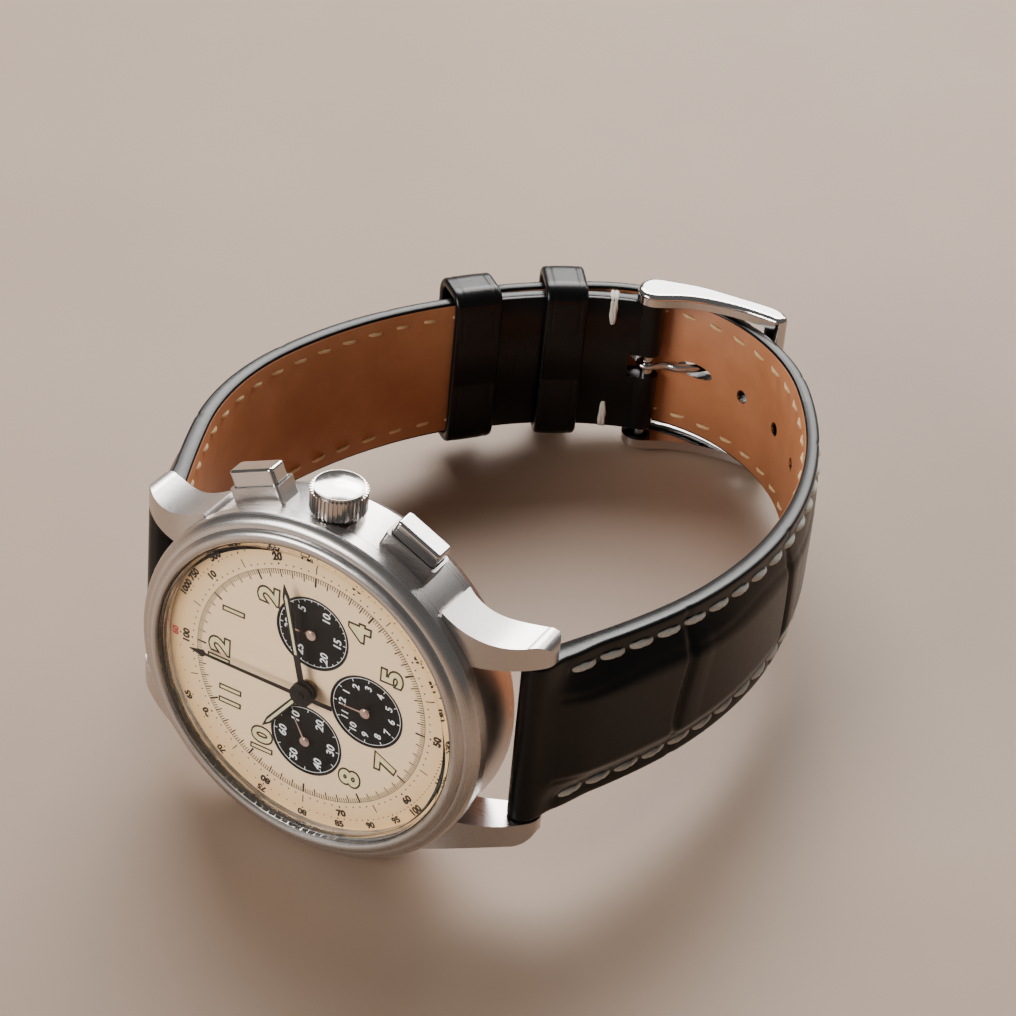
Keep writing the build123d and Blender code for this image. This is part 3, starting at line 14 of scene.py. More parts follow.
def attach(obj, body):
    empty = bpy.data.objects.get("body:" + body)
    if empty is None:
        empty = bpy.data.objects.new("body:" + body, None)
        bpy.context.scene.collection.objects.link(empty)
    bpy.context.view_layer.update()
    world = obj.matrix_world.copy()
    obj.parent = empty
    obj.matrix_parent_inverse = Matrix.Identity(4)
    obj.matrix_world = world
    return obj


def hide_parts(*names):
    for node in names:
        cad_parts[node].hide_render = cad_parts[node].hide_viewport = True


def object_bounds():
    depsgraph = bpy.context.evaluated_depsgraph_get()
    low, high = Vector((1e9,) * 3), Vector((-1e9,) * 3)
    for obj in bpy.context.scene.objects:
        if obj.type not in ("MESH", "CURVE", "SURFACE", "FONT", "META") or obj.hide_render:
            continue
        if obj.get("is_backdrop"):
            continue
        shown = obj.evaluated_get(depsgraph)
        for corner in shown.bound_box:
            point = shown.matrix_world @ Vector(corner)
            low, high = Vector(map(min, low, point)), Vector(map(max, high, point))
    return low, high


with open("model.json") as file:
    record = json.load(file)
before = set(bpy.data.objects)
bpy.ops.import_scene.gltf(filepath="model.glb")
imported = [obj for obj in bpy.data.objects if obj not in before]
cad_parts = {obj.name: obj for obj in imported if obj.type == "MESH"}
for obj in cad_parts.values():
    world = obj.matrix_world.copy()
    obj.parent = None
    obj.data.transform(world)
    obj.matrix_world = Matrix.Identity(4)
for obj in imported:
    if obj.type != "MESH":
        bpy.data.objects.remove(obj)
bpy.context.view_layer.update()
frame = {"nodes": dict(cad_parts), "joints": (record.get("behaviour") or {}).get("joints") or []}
NODES = frame["nodes"]
JOINTS = {joint["name"]: joint for joint in frame["joints"]}
FIXED = "case_and_strap"

# ------------------------------------------------------------------ the watch's own space
MM = 0.001
OUT_OF_DIAL = -Vector(JOINTS["minute_hand_turn"]["axis"])
TO_CROWN = Vector(JOINTS["crown_turn"]["axis"])
TO_TWELVE = OUT_OF_DIAL.cross(TO_CROWN)
MINUTE_HAND_LEVEL = 1.0
DIAL_CENTRE = Vector(JOINTS["minute_hand_turn"]["pos_m"]) - OUT_OF_DIAL * MINUTE_HAND_LEVEL * MM
WATCH = Matrix.Translation(DIAL_CENTRE) @ Matrix((TO_CROWN, TO_TWELVE, OUT_OF_DIAL)).transposed().to_4x4()
WATCH = WATCH @ Matrix.Scale(MM, 4)

# ------------------------------------------------------------------ sizes, in millimetres
BAR_AT = 22.4
BAR_LEVEL = -6.0
ROLL_RADIUS = 1.6
STRAP_LUG_WIDTH = 19.8
STRAP_END_WIDTH = 17.7
HEADING = {"short": -64.0, "long": -120.0}
ARCS = {
    "short": [(172.0, -5.3), (32.0, -32.5), (54.0, -33.0), (36.5, -24.7)],
    "long": [(98.0, 9.0), (49.2, 58.3), (24.1, 36.0), (19.0, 51.5), (55.9, 17.7)],
}
CROWNED = {
    "short": [(0.0, 3.2), (6.0, 4.0), (18.0, 3.7), (36.0, 2.6), (54.0, 1.8), (90.0, 1.8)],
    "long": [(0.0, 3.2), (6.0, 4.1), (18.0, 3.8), (38.0, 2.8), (52.0, 2.0), (62.0, 1.7), (130.0, 1.7)],
}
EDGE = {
    "short": [(0.0, 3.2), (3.0, 2.5), (8.0, 2.0), (40.0, 1.75), (56.0, 1.6), (90.0, 1.6)],
    "long": [(0.0, 3.2), (3.0, 2.6), (8.0, 2.1), (30.0, 1.9), (56.0, 1.55), (130.0, 1.5)],
}
CREASES = {"short": [16.5, 34.0, 48.0], "long": [17.3, 36.6, 54.0, 66.5, 78.0, 89.0, 100.0]}
TAPER_TOP = -12.0
TAPER_BOTTOM = -66.0
STITCH_PITCH = 3.63
STITCH_INSET = 1.9
FIRST_STITCH = 5.0
HOLES = [63.2 + 7.3 * number for number in range(6)]
BUCKLED_HOLE = 3
BUCKLE_ROLL_RADIUS = 1.35
FOLD_START = 61.5
CROSS_STITCH_AT = 76.3
FREE_KEEPER_AT = 59.8
FREE_KEEPER_REACH = 50.0
FIXED_KEEPER_AT = 70.6
KEEPER_WALL = 1.1
SHORT_THICKNESS = 1.8
LONG_THICKNESS = 1.7
STRAP_GAP = 0.15
TIP_LENGTH = 6.0

SUBDIAL_OFFSET = 6.8
SUBDIAL_RADIUS = 4.22
GROOVE_PITCH = 0.11
DIAL_RADIUS = 17.5


# ------------------------------------------------------------------ node materials
def new_material(name, **values):
    """A Principled material: returns it, its node tree and its shader."""
    material = bpy.data.materials.new(name)
    material.use_nodes = True
    shader = material.node_tree.nodes["Principled BSDF"]
    for label, value in values.items():
        shader.inputs[label.replace("_", " ")].default_value = value
    return material, material.node_tree, shader


def node(tree, kind, values=None, **settings):
    """A node with its settings and the default values or links of its inputs."""
    made = tree.nodes.new(kind)
    for key, value in settings.items():
        setattr(made, key, value)
    for key, value in (values or {}).items():
        if isinstance(value, bpy.types.NodeSocket):
            tree.links.new(value, made.inputs[key])
        else:
            made.inputs[key].default_value = value
    return made


def math_node(tree, operation, first, second=0.0, third=0.0):
    return node(tree, "ShaderNodeMath", {0: first, 1: second, 2: third}, operation=operation).outputs[0]


def watch_space(tree):
    """Three sockets with the shaded point's X, Y and Z in the watch's own millimetres."""
    place = node(tree, "ShaderNodeTexCoord").outputs["Object"]
    moved = node(tree, "ShaderNodeVectorMath", {0: place, 1: DIAL_CENTRE}, operation="SUBTRACT").outputs[0]
    sockets = []
    for axis in (TO_CROWN, TO_TWELVE, OUT_OF_DIAL):
        along = node(tree, "ShaderNodeVectorMath", {0: moved, 1: axis}, operation="DOT_PRODUCT")
        sockets.append(math_node(tree, "DIVIDE", along.outputs["Value"], MM))
    return sockets


def noise(tree, vector, scale, detail=4.0, roughness=0.5):
    values = {"Vector": vector, "Scale": scale, "Detail": detail, "Roughness": roughness}
    return node(tree, "ShaderNodeTexNoise", values).outputs["Fac"]


def mapped(tree, value, low, high, from_low=0.0, from_high=1.0):
    values = {0: value, 1: from_low, 2: from_high, 3: low, 4: high}
    return node(tree, "ShaderNodeMapRange", values).outputs[0]


def ramp(tree, value, stops):
    made = node(tree, "ShaderNodeValToRGB", {0: value})
    elements = made.color_ramp.elements
    while len(elements) < len(stops):
        elements.new(0.5)
    for element, (place, colour) in zip(elements, stops):
        element.position = place
        element.color = (*colour, 1.0)
    return made.outputs["Color"]


def bump(tree, shader, height, strength, distance):
    values = {"Height": height, "Strength": strength, "Distance": distance}
    made = node(tree, "ShaderNodeBump", values)
    tree.links.new(made.outputs["Normal"], shader.inputs["Normal"])


def combined(tree, *parts):
    return node(tree, "ShaderNodeCombineXYZ", dict(enumerate(parts))).outputs[0]


def distance_from(tree, x, y, centre=(0.0, 0.0)):
    """The shaded point's distance from an axis parallel to the dial's."""
    if centre != (0.0, 0.0):
        x = math_node(tree, "SUBTRACT", x, centre[0])
        y = math_node(tree, "SUBTRACT", y, centre[1])
    squares = math_node(tree, "ADD", math_node(tree, "MULTIPLY", x, x), math_node(tree, "MULTIPLY", y, y))
    return math_node(tree, "SQRT", squares)


def brushed_metal(name, colour, along, roughness, strength=0.12, stretch=70.0, spread=0.12):
    """Metal with fine brush lines. along is "y" for straight lines to 12 o'clock or "round" for
    circles about the dial's axis."""
    material, tree, shader = new_material(name, Metallic=1.0, Base_Color=(*colour, 1.0))
    x, y, z = watch_space(tree)
    if along == "y":
        across = math_node(tree, "MULTIPLY", x, stretch)
        vector = combined(tree, across, y, math_node(tree, "MULTIPLY", z, stretch))
    else:
        bearing = math_node(tree, "ARCTAN2", y, x)
        outward = math_node(tree, "MULTIPLY", distance_from(tree, x, y), stretch * 0.6)
        level = math_node(tree, "MULTIPLY", z, stretch * 0.6)
        vector = combined(tree, outward, math_node(tree, "MULTIPLY", bearing, 2.0), level)
    lines = noise(tree, vector, 0.35, 3.0, 0.65)
    object_place = node(tree, "ShaderNodeTexCoord").outputs["Object"]
    handled = noise(tree, object_place, 260.0, 5.0, 0.6)
    bright = [min(1.0, c * 1.06) for c in colour]
    tone = ramp(tree, lines, [(0.25, [c * 0.86 for c in colour]), (0.75, bright)])
    tree.links.new(tone, shader.inputs["Base Color"])
    rough = math_node(tree, "ADD", mapped(tree, lines, roughness - spread, roughness + spread),
                      mapped(tree, handled, -0.04, 0.04))
    tree.links.new(rough, shader.inputs["Roughness"])
    bump(tree, shader, lines, strength, 0.00002)
    return material


def polished_metal(name, colour, roughness=0.08):
    """Polished metal with faint handling marks."""
    material, tree, shader = new_material(name, Metallic=1.0, Base_Color=(*colour, 1.0))
    place = node(tree, "ShaderNodeTexCoord").outputs["Object"]
    marks = noise(tree, place, 900.0, 6.0, 0.7)
    tree.links.new(mapped(tree, marks, roughness, roughness + 0.1, 0.45, 0.8), shader.inputs["Roughness"])
    wide = noise(tree, place, 140.0, 2.0, 0.5)
    tone = ramp(tree, wide, [(0.3, [c * 0.95 for c in colour]), (0.7, colour)])
    tree.links.new(tone, shader.inputs["Base Color"])
    bump(tree, shader, wide, 0.03, 0.00005)
    return material


def leather(name, dark, light, roughness, coat, grain_scale, grain_depth, wear=0.0):
    """Leather: pores and a fine pebble, tone that wanders, and gloss that varies."""
    gloss = {"Coat_Weight": coat, "Coat_Roughness": 0.12, "Specular_IOR_Level": 0.30}
    material, tree, shader = new_material(name, **gloss)
    place = node(tree, "ShaderNodeTexCoord").outputs["Object"]
    cloudy = noise(tree, place, 120.0, 5.0, 0.6)
    fine = noise(tree, place, grain_scale * 1.7, 3.0, 0.6)
    pebbles = node(tree, "ShaderNodeTexVoronoi", {"Vector": place, "Scale": grain_scale}, feature="SMOOTH_F1")
    tone = ramp(tree, cloudy, [(0.3, dark), (0.72, light)])
    tree.links.new(tone, shader.inputs["Base Color"])
    rough = math_node(tree, "ADD", mapped(tree, fine, roughness - 0.05, roughness + 0.08),
                      mapped(tree, cloudy, -0.04, 0.08 + wear))
    tree.links.new(rough, shader.inputs["Roughness"])
    height = math_node(tree, "ADD", pebbles.outputs["Distance"], math_node(tree, "MULTIPLY", fine, 0.6))
    bump(tree, shader, height, 0.35, grain_depth)
    return material


def lacquer(name, colour, roughness, coat=0.0, grain=0.0, metallic=0.0, gloss=0.5):
    """Printing ink, paint or lacquer with a slightly uneven film."""
    material, tree, shader = new_material(name, Coat_Weight=coat, Coat_Roughness=0.08, Metallic=metallic,
                                          Specular_IOR_Level=gloss)
    place = node(tree, "ShaderNodeTexCoord").outputs["Object"]
    film = noise(tree, place, 1800.0, 3.0, 0.6)
    tone = ramp(tree, film, [(0.3, [c * (0.94 - grain) for c in colour]), (0.7, colour)])
    tree.links.new(tone, shader.inputs["Base Color"])
    tree.links.new(mapped(tree, film, roughness - 0.04, roughness + 0.06), shader.inputs["Roughness"])
    bump(tree, shader, film, 0.06, 0.00001)
    return material


def dial_material():
    """Cream lacquer that turns darker and warmer towards the rim, with a fine tooth."""
    material, tree, shader = new_material("dial_cream", Coat_Weight=0.25, Coat_Roughness=0.25)
    x, y = watch_space(tree)[:2]
    share = math_node(tree, "DIVIDE", distance_from(tree, x, y), DIAL_RADIUS)
    place = node(tree, "ShaderNodeTexCoord").outputs["Object"]
    cloudy = noise(tree, place, 70.0, 4.0, 0.55)
    # Darker and warmer towards the rim, with a little random unevenness.
    towards_rim = math_node(tree, "ADD", share, mapped(tree, cloudy, -0.06, 0.06))
    cream = [(0.0, (0.80, 0.575, 0.365)), (0.72, (0.79, 0.555, 0.34)), (1.0, (0.68, 0.41, 0.17))]
    tone = ramp(tree, towards_rim, cream)
    tree.links.new(tone, shader.inputs["Base Color"])
    tooth = noise(tree, place, 5200.0, 2.0, 0.6)
    tree.links.new(mapped(tree, tooth, 0.38, 0.5), shader.inputs["Roughness"])
    bump(tree, shader, tooth, 0.08, 0.00001)
    return material


def subdial_material():
    """Black with fine concentric grooves about each counter's own centre."""
    material, tree, shader = new_material("dial_black", Coat_Weight=0.0, Specular_IOR_Level=0.16)
    x, y = watch_space(tree)[:2]
    nearest = None
    for centre in ((SUBDIAL_OFFSET, 0.0), (-SUBDIAL_OFFSET, 0.0), (0.0, -SUBDIAL_OFFSET)):
        radius = distance_from(tree, x, y, centre)
        nearest = radius if nearest is None else math_node(tree, "MINIMUM", nearest, radius)
    wave = math_node(tree, "SINE", math_node(tree, "MULTIPLY", nearest, 2 * math.pi / GROOVE_PITCH))
    black = [(0.0, (0.0015, 0.0015, 0.002)), (1.0, (0.006, 0.006, 0.007))]
    tone = ramp(tree, mapped(tree, wave, 0.0, 1.0, -1.0, 1.0), black)
    tree.links.new(tone, shader.inputs["Base Color"])
    tree.links.new(mapped(tree, wave, 0.26, 0.42, -1.0, 1.0), shader.inputs["Roughness"])
    bump(tree, shader, wave, 0.25, 0.00002)
    return material


def sapphire_material():
    """Clear domed sapphire with faint dust, letting lamps' light through to the dial."""
    material, tree, shader = new_material("sapphire", Transmission_Weight=1.0, IOR=1.22, Roughness=0.0)
    place = node(tree, "ShaderNodeTexCoord").outputs["Object"]
    smudge = noise(tree, place, 160.0, 4.0, 0.6)
    tone = ramp(tree, smudge, [(0.4, (0.97, 0.985, 0.99)), (0.8, (1.0, 1.0, 1.0))])
    tree.links.new(tone, shader.inputs["Base Color"])
    clear = node(tree, "ShaderNodeBsdfTransparent", {"Color": (0.97, 0.985, 0.99, 1.0)})
    rays = node(tree, "ShaderNodeLightPath")
    shares = {0: rays.outputs["Is Shadow Ray"], 1: shader.outputs[0], 2: clear.outputs[0]}
    mixed = node(tree, "ShaderNodeMixShader", shares)
    tree.links.new(mixed.outputs[0], tree.nodes["Material Output"].inputs["Surface"])
    return material


def thread_material(name, colour):
    """Twisted thread: darker between the fibres."""
    material, tree, shader = new_material(name, Sheen_Weight=0.35, Sheen_Roughness=0.4)
    place = node(tree, "ShaderNodeTexCoord").outputs["Object"]
    fibres = noise(tree, place, 5200.0, 4.0, 0.7)
    tone = ramp(tree, fibres, [(0.3, [c * 0.72 for c in colour]), (0.65, colour)])
    tree.links.new(tone, shader.inputs["Base Color"])
    tree.links.new(mapped(tree, fibres, 0.6, 0.85), shader.inputs["Roughness"])
    bump(tree, shader, fibres, 0.4, 0.00004)
    return material


STEEL = (0.63, 0.60, 0.585)
MAT = {
    "steel_straight": brushed_metal("steel_brushed_straight", STEEL, "y", 0.30),
    "steel_round": brushed_metal("steel_brushed_round", STEEL, "round", 0.28),
    "steel_polished": polished_metal("steel_polished", (0.72, 0.70, 0.69), 0.07),
    "steel_crown": polished_metal("steel_crown", (0.70, 0.67, 0.65), 0.12),
    "hand_polished": polished_metal("hand_polished", (0.80, 0.62, 0.57), 0.15),
    "plate": brushed_metal("rhodium_grained", (0.60, 0.58, 0.55), "round", 0.34),
    "wheel": brushed_metal("gilt_brass", (0.72, 0.50, 0.20), "round", 0.28),
    "works_steel": polished_metal("movement_steel", (0.50, 0.50, 0.51), 0.16),
    "blued": lacquer("blued_steel", (0.03, 0.07, 0.30), 0.22, 0.4, metallic=0.8),
    "rubber": lacquer("gasket_rubber", (0.02, 0.02, 0.02), 0.6, grain=0.1),
    "sapphire": sapphire_material(),
    "dial": dial_material(),
    "subdial": subdial_material(),
    "hand_black": lacquer("hand_black", (0.003, 0.0025, 0.0025), 0.28, 0.04, gloss=0.3),
    "lume": lacquer("hand_filling", (0.66, 0.60, 0.36), 0.55, grain=0.1),
    "ink": lacquer("ink_dark", (0.016, 0.012, 0.010), 0.5, gloss=0.2),
    "ink_olive": lacquer("ink_olive", (0.034, 0.023, 0.008), 0.5, gloss=0.2),
    "ink_red": lacquer("ink_red", (0.50, 0.035, 0.05), 0.5),
    "ink_white": lacquer("ink_white", (0.78, 0.79, 0.80), 0.5),
    "numeral": lacquer("numeral_filling", (0.72, 0.60, 0.34), 0.55, grain=0.08),
    "leather": leather("leather_black", (0.0012, 0.0012, 0.0015), (0.004, 0.004, 0.0048), 0.27, 0.08, 1500.0,
                       0.00002),
    "tan": leather("leather_tan", (0.40, 0.150, 0.062), (0.52, 0.215, 0.10), 0.42, 0.06, 1700.0, 0.00004,
                   0.06),
    "thread": thread_material("thread_cream", (0.78, 0.74, 0.66)),
    "thread_inner": thread_material("thread_inner", (0.80, 0.54, 0.27)),
}

NODE_MATERIALS = {
    "steel_straight": ["mid_case", "pusher_guards", "crown_tube"],
    "steel_round": ["bezel", "caseback", "dial_flange"],
    "steel_polished": ["start_pusher", "reset_pusher", "buckle_frame", "buckle_tongue", "spring_bars"],
    "steel_crown": ["crown"],
    "hand_polished": ["small_seconds_hand", "minute_counter_hand", "hour_counter_hand"],
    "plate": ["mainplate", "top_bridge", "balance_cock", "pallet_bridge", "movement_ring", "rotor"],
    "wheel": ["hour_wheel", "minute_wheel", "third_wheel", "centre_wheel", "barrel", "fourth_wheel",
              "minute_idler", "minute_counter_wheel", "hour_idler", "hour_counter_wheel", "balance_wheel"],
    "works_steel": ["stem", "winding_pinion", "cannon_pinion", "escape_wheel", "pallet_fork", "chrono_runner",
                    "column_wheel", "operating_lever", "reset_hammer", "mainspring"],
    "blued": ["bridge_screws", "hairspring"],
    "rubber": ["crystal_gasket", "caseback_gasket"],
    "sapphire": ["crystal"],
    "dial": ["dial"],
    "subdial": ["subdials"],
    "hand_black": ["hour_hand", "minute_hand", "chrono_hand"],
    "leather": ["strap_short", "strap_long", "free_keeper", "fixed_keeper"],
    "tan": ["strap_short_lining", "strap_long_lining"],
}
for key, names in NODE_MATERIALS.items():
    for name in names:
        slots = NODES[name].data.materials
        if not slots:
            slots.append(MAT[key])
        for place in range(len(slots)):
            slots[place] = MAT[key]


# ------------------------------------------------------------------ mesh helpers
def solid_mesh(name, shape, material):
    """A mesh in the frame from vertices and faces in the watch's millimetres, its faces outward."""
    vertices, faces = shape
    mesh = bpy.data.meshes.new(name)
    mesh.from_pydata([WATCH @ Vector(point) for point in vertices], [], faces)
    mesh.materials.append(material)
    work = bmesh.new()
    work.from_mesh(mesh)
    bmesh.ops.recalc_face_normals(work, faces=work.faces)
    work.to_mesh(mesh)
    work.free()
    return mesh


def make_piece(name, shape, material, body, replaced=(), sharp=40.0):
    """A piece from vertices and faces in the watch's millimetres, riding on a body."""
    mesh = solid_mesh(name, shape, material)
    mesh.polygons.foreach_set("use_smooth", [True] * len(mesh.polygons))
    mesh.set_sharp_from_angle(angle=math.radians(sharp))
    mesh.update()
    made = bpy.data.objects.new(name, mesh)
    bpy.context.scene.collection.objects.link(made)
    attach(made, body)
    if replaced:
        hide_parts(*replaced)
    return made


def joined(shapes):
    """Several (vertices, faces) as one."""
    vertices, faces = [], []
    for more_vertices, more_faces in shapes:
        start = len(vertices)
        vertices += more_vertices
        faces += [[start + corner for corner in face] for face in more_faces]
    return vertices, faces


def skin(loops, closed=False):
    """Quads between equal closed loops of points, capped at both ends unless the skin closes."""
    count = len(loops[0])
    vertices = [point for loop in loops for point in loop]
    faces = []
    for row in range(len(loops) if closed else len(loops) - 1):
        here, there = row * count, (row + 1) % len(loops) * count
        for place in range(count):
            following = (place + 1) % count
            faces.append([here + place, here + following, there + following, there + place])
    if not closed:
        faces.append(list(range(count))[::-1])
        faces.append([(len(loops) - 1) * count + place for place in range(count)])
    return vertices, faces


def prism(outline, low, high):
    """An upright plate with a flat outline."""
    return skin([[(x, y, low) for x, y in outline], [(x, y, high) for x, y in outline]])


def between(table, value):
    """Smooth interpolation in a table of (place, value) pairs."""
    if value <= table[0][0]:
        return table[0][1]
    for (a, at_a), (b, at_b) in zip(table, table[1:]):
        if value <= b:
            share = (value - a) / (b - a)
            return at_a + (at_b - at_a) * share * share * (3 - 2 * share)
    return table[-1][1]


def smooth_step(value):
    value = max(0.0, min(1.0, value))
    return value * value * (3 - 2 * value)


# ------------------------------------------------------------------ the strap's line
def strap_length(piece):
    return sum(radius * math.radians(abs(turn)) for radius, turn in ARCS[piece])


def strap_at(piece, distance, depth=0.0):
    """Point (y, z) on a strap piece and its heading in radians, at a distance from the lug along
    the inner face and a depth outward from it."""
    side = 1 if piece == "short" else -1
    angle = math.radians(HEADING[piece])
    y = side * BAR_AT + side * ROLL_RADIUS * math.sin(angle)
    z = BAR_LEVEL - side * ROLL_RADIUS * math.cos(angle)
    arcs = ARCS[piece]
    for place, (radius, turn) in enumerate(arcs):
        bend = (1 if turn > 0 else -1) / radius
        length = radius * math.radians(abs(turn))
        step = min(distance, length) if place < len(arcs) - 1 else distance
        y += (math.sin(angle + bend * step) - math.sin(angle)) / bend
        z -= (math.cos(angle + bend * step) - math.cos(angle)) / bend
        angle += bend * step
        distance -= step
        if distance <= 0:
            break
    return (y - side * depth * math.sin(angle), z + side * depth * math.cos(angle)), angle


def strap_point(piece, distance, across, depth):
    (y, z), angle = strap_at(piece, distance, depth)
    return (across, y, z)


def half_width(piece, distance):
    """Half the strap's width: it narrows away from the lugs, and the long piece ends rounded."""
    z = strap_at(piece, max(distance, 0.0))[0][1]
    share = max(0.0, min(1.0, (TAPER_TOP - z) / (TAPER_TOP - TAPER_BOTTOM)))
    half = (STRAP_LUG_WIDTH + (STRAP_END_WIDTH - STRAP_LUG_WIDTH) * share) / 2
    if piece == "long":
        into_tip = distance - (strap_length("long") - TIP_LENGTH)
        if into_tip > 0:
            half *= math.sqrt(max(0.02, 1.0 - (into_tip / TIP_LENGTH) ** 2))
    return half


def surface_depth(piece, distance, across):
    """Depth of the leather's outer face: flat margins for the stitches, a padded middle, creases
    between the large scales, and a shallow channel that the stitches lie in."""
    half = half_width(piece, distance)
    edge = between(EDGE[piece], distance)
    crown = between(CROWNED[piece], distance)
    inward = half - abs(across)
    swell = smooth_step((inward - 1.5) / 4.2)
    depth = edge + (crown - edge) * swell
    for number, crease in enumerate(CREASES[piece]):
        sway = 0.55 * math.sin(across * 0.33 + number * 1.7) + 0.012 * across * across
        gap = (distance - crease - sway) / 0.42
        if abs(gap) < 3:
            depth -= (0.10 + 0.34 * swell) * math.exp(-gap * gap)
        # Each scale's leading side stands a little higher than the one behind it.
        lead = (distance - crease - sway)
        if 0 < lead < 3.2:
            depth += 0.10 * swell * math.sin(math.pi * lead / 3.2)
    ridge = (abs(across) - 0.56 * half + 0.3 * math.sin(distance * 0.35)) / 0.34
    if abs(ridge) < 3 and 2 < distance < 58:
        depth -= 0.075 * math.exp(-ridge * ridge)
    channel = (inward - STITCH_INSET) / 0.5
    if abs(channel) < 3 and FIRST_STITCH - 2 < distance < strap_length(piece) - 20:
        depth -= 0.12 * math.exp(-channel * channel)
    return depth


ROUND_OVER = 0.42
SIDE_STEPS = 5


def leather_loop(piece, distance, low, high_of, steps):
    """One closed cross-section of the leather: outer face from edge to edge, with rounded sides."""
    half = half_width(piece, distance)
    loop = []
    inner = half - ROUND_OVER
    for step in range(steps + 1):
        across = -inner + 2 * inner * step / steps
        loop.append((across, high_of(across)))
    corner = high_of(inner)
    reach = min(ROUND_OVER, 0.45 * max(corner - low, 0.05))
    right = []
    for step in range(1, SIDE_STEPS + 1):
        turn = math.pi / 2 * step / SIDE_STEPS
        right.append((inner + ROUND_OVER * math.sin(turn), corner - reach * (1 - math.cos(turn))))
    for step in range(1, SIDE_STEPS + 1):
        turn = math.pi / 2 * step / SIDE_STEPS
        right.append((inner + ROUND_OVER * math.cos(turn), low + reach * 0.6 * (1 - math.sin(turn))))
    left = [(-across, depth) for across, depth in reversed(right)]
    return [strap_point(piece, distance, across, depth) for across, depth in loop + right + left]


def leather_shape(piece):
    """The outer leather, from its roll round the lug's bar to its far end."""
    length = strap_length(piece)
    steps = 74
    loops = []
    for number in range(9, 0, -1):
        turn = math.pi / 2 * number / 10
        shift = -ROLL_RADIUS * math.sin(turn)
        spread = ROLL_RADIUS * math.cos(turn)
        around = ROLL_RADIUS + spread
        loops.append(leather_loop(piece, shift, ROLL_RADIUS - spread, lambda across: around, steps))
    far = length - (0.4 if piece == "long" else 0.0)
    rows = int(far / 0.26)
    for row in range(rows + 1):
        distance = far * row / rows
        low = 0.06 * smooth_step(distance / 1.5)
        swell = 0.0
        if piece == "short":
            swell = smooth_step((distance - (length - 3.2)) / 3.2)
        low = low * (1 - swell) + (0.9 - BUCKLE_ROLL_RADIUS) * swell
        lift = (BUCKLE_ROLL_RADIUS + 0.9 - between(EDGE[piece], distance)) * swell

        def high_of(across):
            return surface_depth(piece, distance, across) + lift

        loops.append(leather_loop(piece, distance, low, high_of, steps))
    if piece == "short":
        for number in range(1, 10):
            turn = math.pi / 2 * number / 10
            shift = length + BUCKLE_ROLL_RADIUS * math.sin(turn)
            spread = BUCKLE_ROLL_RADIUS * math.cos(turn)
            loops.append(leather_loop(piece, shift, 0.9 - spread, lambda across: 0.9 + spread, steps))
    else:
        for inset, squeeze in ((0.25, 0.12), (0.42, 0.45)):
            def high_of(across):
                return surface_depth(piece, far, across) - squeeze
            loops.append(leather_loop(piece, far + inset, 0.06 + squeeze, high_of, steps))
    return skin(loops)


def cut(made, cutters):
    """Takes closed shapes out of a piece, for good."""
    tools = []
    for number, shape in enumerate(cutters):
        mesh = solid_mesh(f"cutter_{number}", shape, made.data.materials[0])
        tool = bpy.data.objects.new(mesh.name, mesh)
        bpy.context.scene.collection.objects.link(tool)
        modifier = made.modifiers.new("cut", "BOOLEAN")
        modifier.object = tool
        modifier.operation = "DIFFERENCE"
        modifier.solver = "EXACT"
        tools.append(tool)
    bpy.context.view_layer.update()
    evaluated = made.evaluated_get(bpy.context.evaluated_depsgraph_get())
    result = bpy.data.meshes.new_from_object(evaluated)
    made.modifiers.clear()
    made.data = result
    for tool in tools:
        bpy.data.objects.remove(tool)


def hole_cutter(distance, half_long, half_wide, low, high, sides=20):
    """An oval plug through the long piece at a distance along it."""
    loops = []
    for depth in (low, high):
        loop = []
        for side in range(sides):
            turn = 2 * math.pi * side / sides
            along = distance + half_long * math.sin(turn)
            loop.append(strap_point("long", along, half_wide * math.cos(turn), depth))
        loops.append(loop)
    return skin(loops)


def pin_holes():
    cutters = []
    for number, distance in enumerate(HOLES):
        half_long = 2.4 if number == BUCKLED_HOLE else 0.85
        cutters.append(hole_cutter(distance, half_long, 0.95 if number == BUCKLED_HOLE else 0.85, -1.5, 4.0))
    return cutters


def box_cutter(piece, start, end, half, low, high):
    """A block across a strap piece between two distances along it."""
    loops = []
    for distance in (start, end):
        corners = ((-half, low), (half, low), (half, high), (-half, high))
        loops.append([strap_point(piece, distance, across, depth) for across, depth in corners])
    return skin(loops)


TONGUE_SLOT_HALF = 1.5
for piece in ("short", "long"):
    made = make_piece(f"strap_{piece}_leather", leather_shape(piece), MAT["leather"], FIXED,
                      [f"strap_{piece}"], sharp=60.0)
    if piece == "long":
        cut(made, pin_holes())
    else:
        length = strap_length("short")
        cut(made, [box_cutter("short", length - 2.2, length + 2.5, TONGUE_SLOT_HALF, -3.0, 5.0)])


# ------------------------------------------------------------------ lining
def lining_loop(piece, distance, inset, low, high):
    """A thin flat cross-section with softened corners, a little narrower than the strap."""
    half = half_width(piece, distance) - inset
    soft = 0.12
    corners = [(-half, high), (half, high), (half, low + soft), (half - soft, low), (-half + soft, low),
               (-half, low + soft)]
    return [strap_point(piece, distance, across, depth) for across, depth in corners]


def lining_shape(piece, start, end, inset, low, high, step=0.8):
    rows = max(2, int((end - start) / step))
    places = [start + (end - start) * row / rows for row in range(rows + 1)]
    return skin([lining_loop(piece, place, inset, low, high) for place in places])


for piece, end in (("short", FOLD_START + 1.0), ("long", strap_length("long") - 1.6)):
    made = make_piece(f"strap_{piece}_lining_face", lining_shape(piece, 0.6, end, 0.3, -0.03, 0.25),
                      MAT["tan"], FIXED, [f"strap_{piece}_lining"], sharp=50.0)
    if piece == "long":
        cut(made, pin_holes())

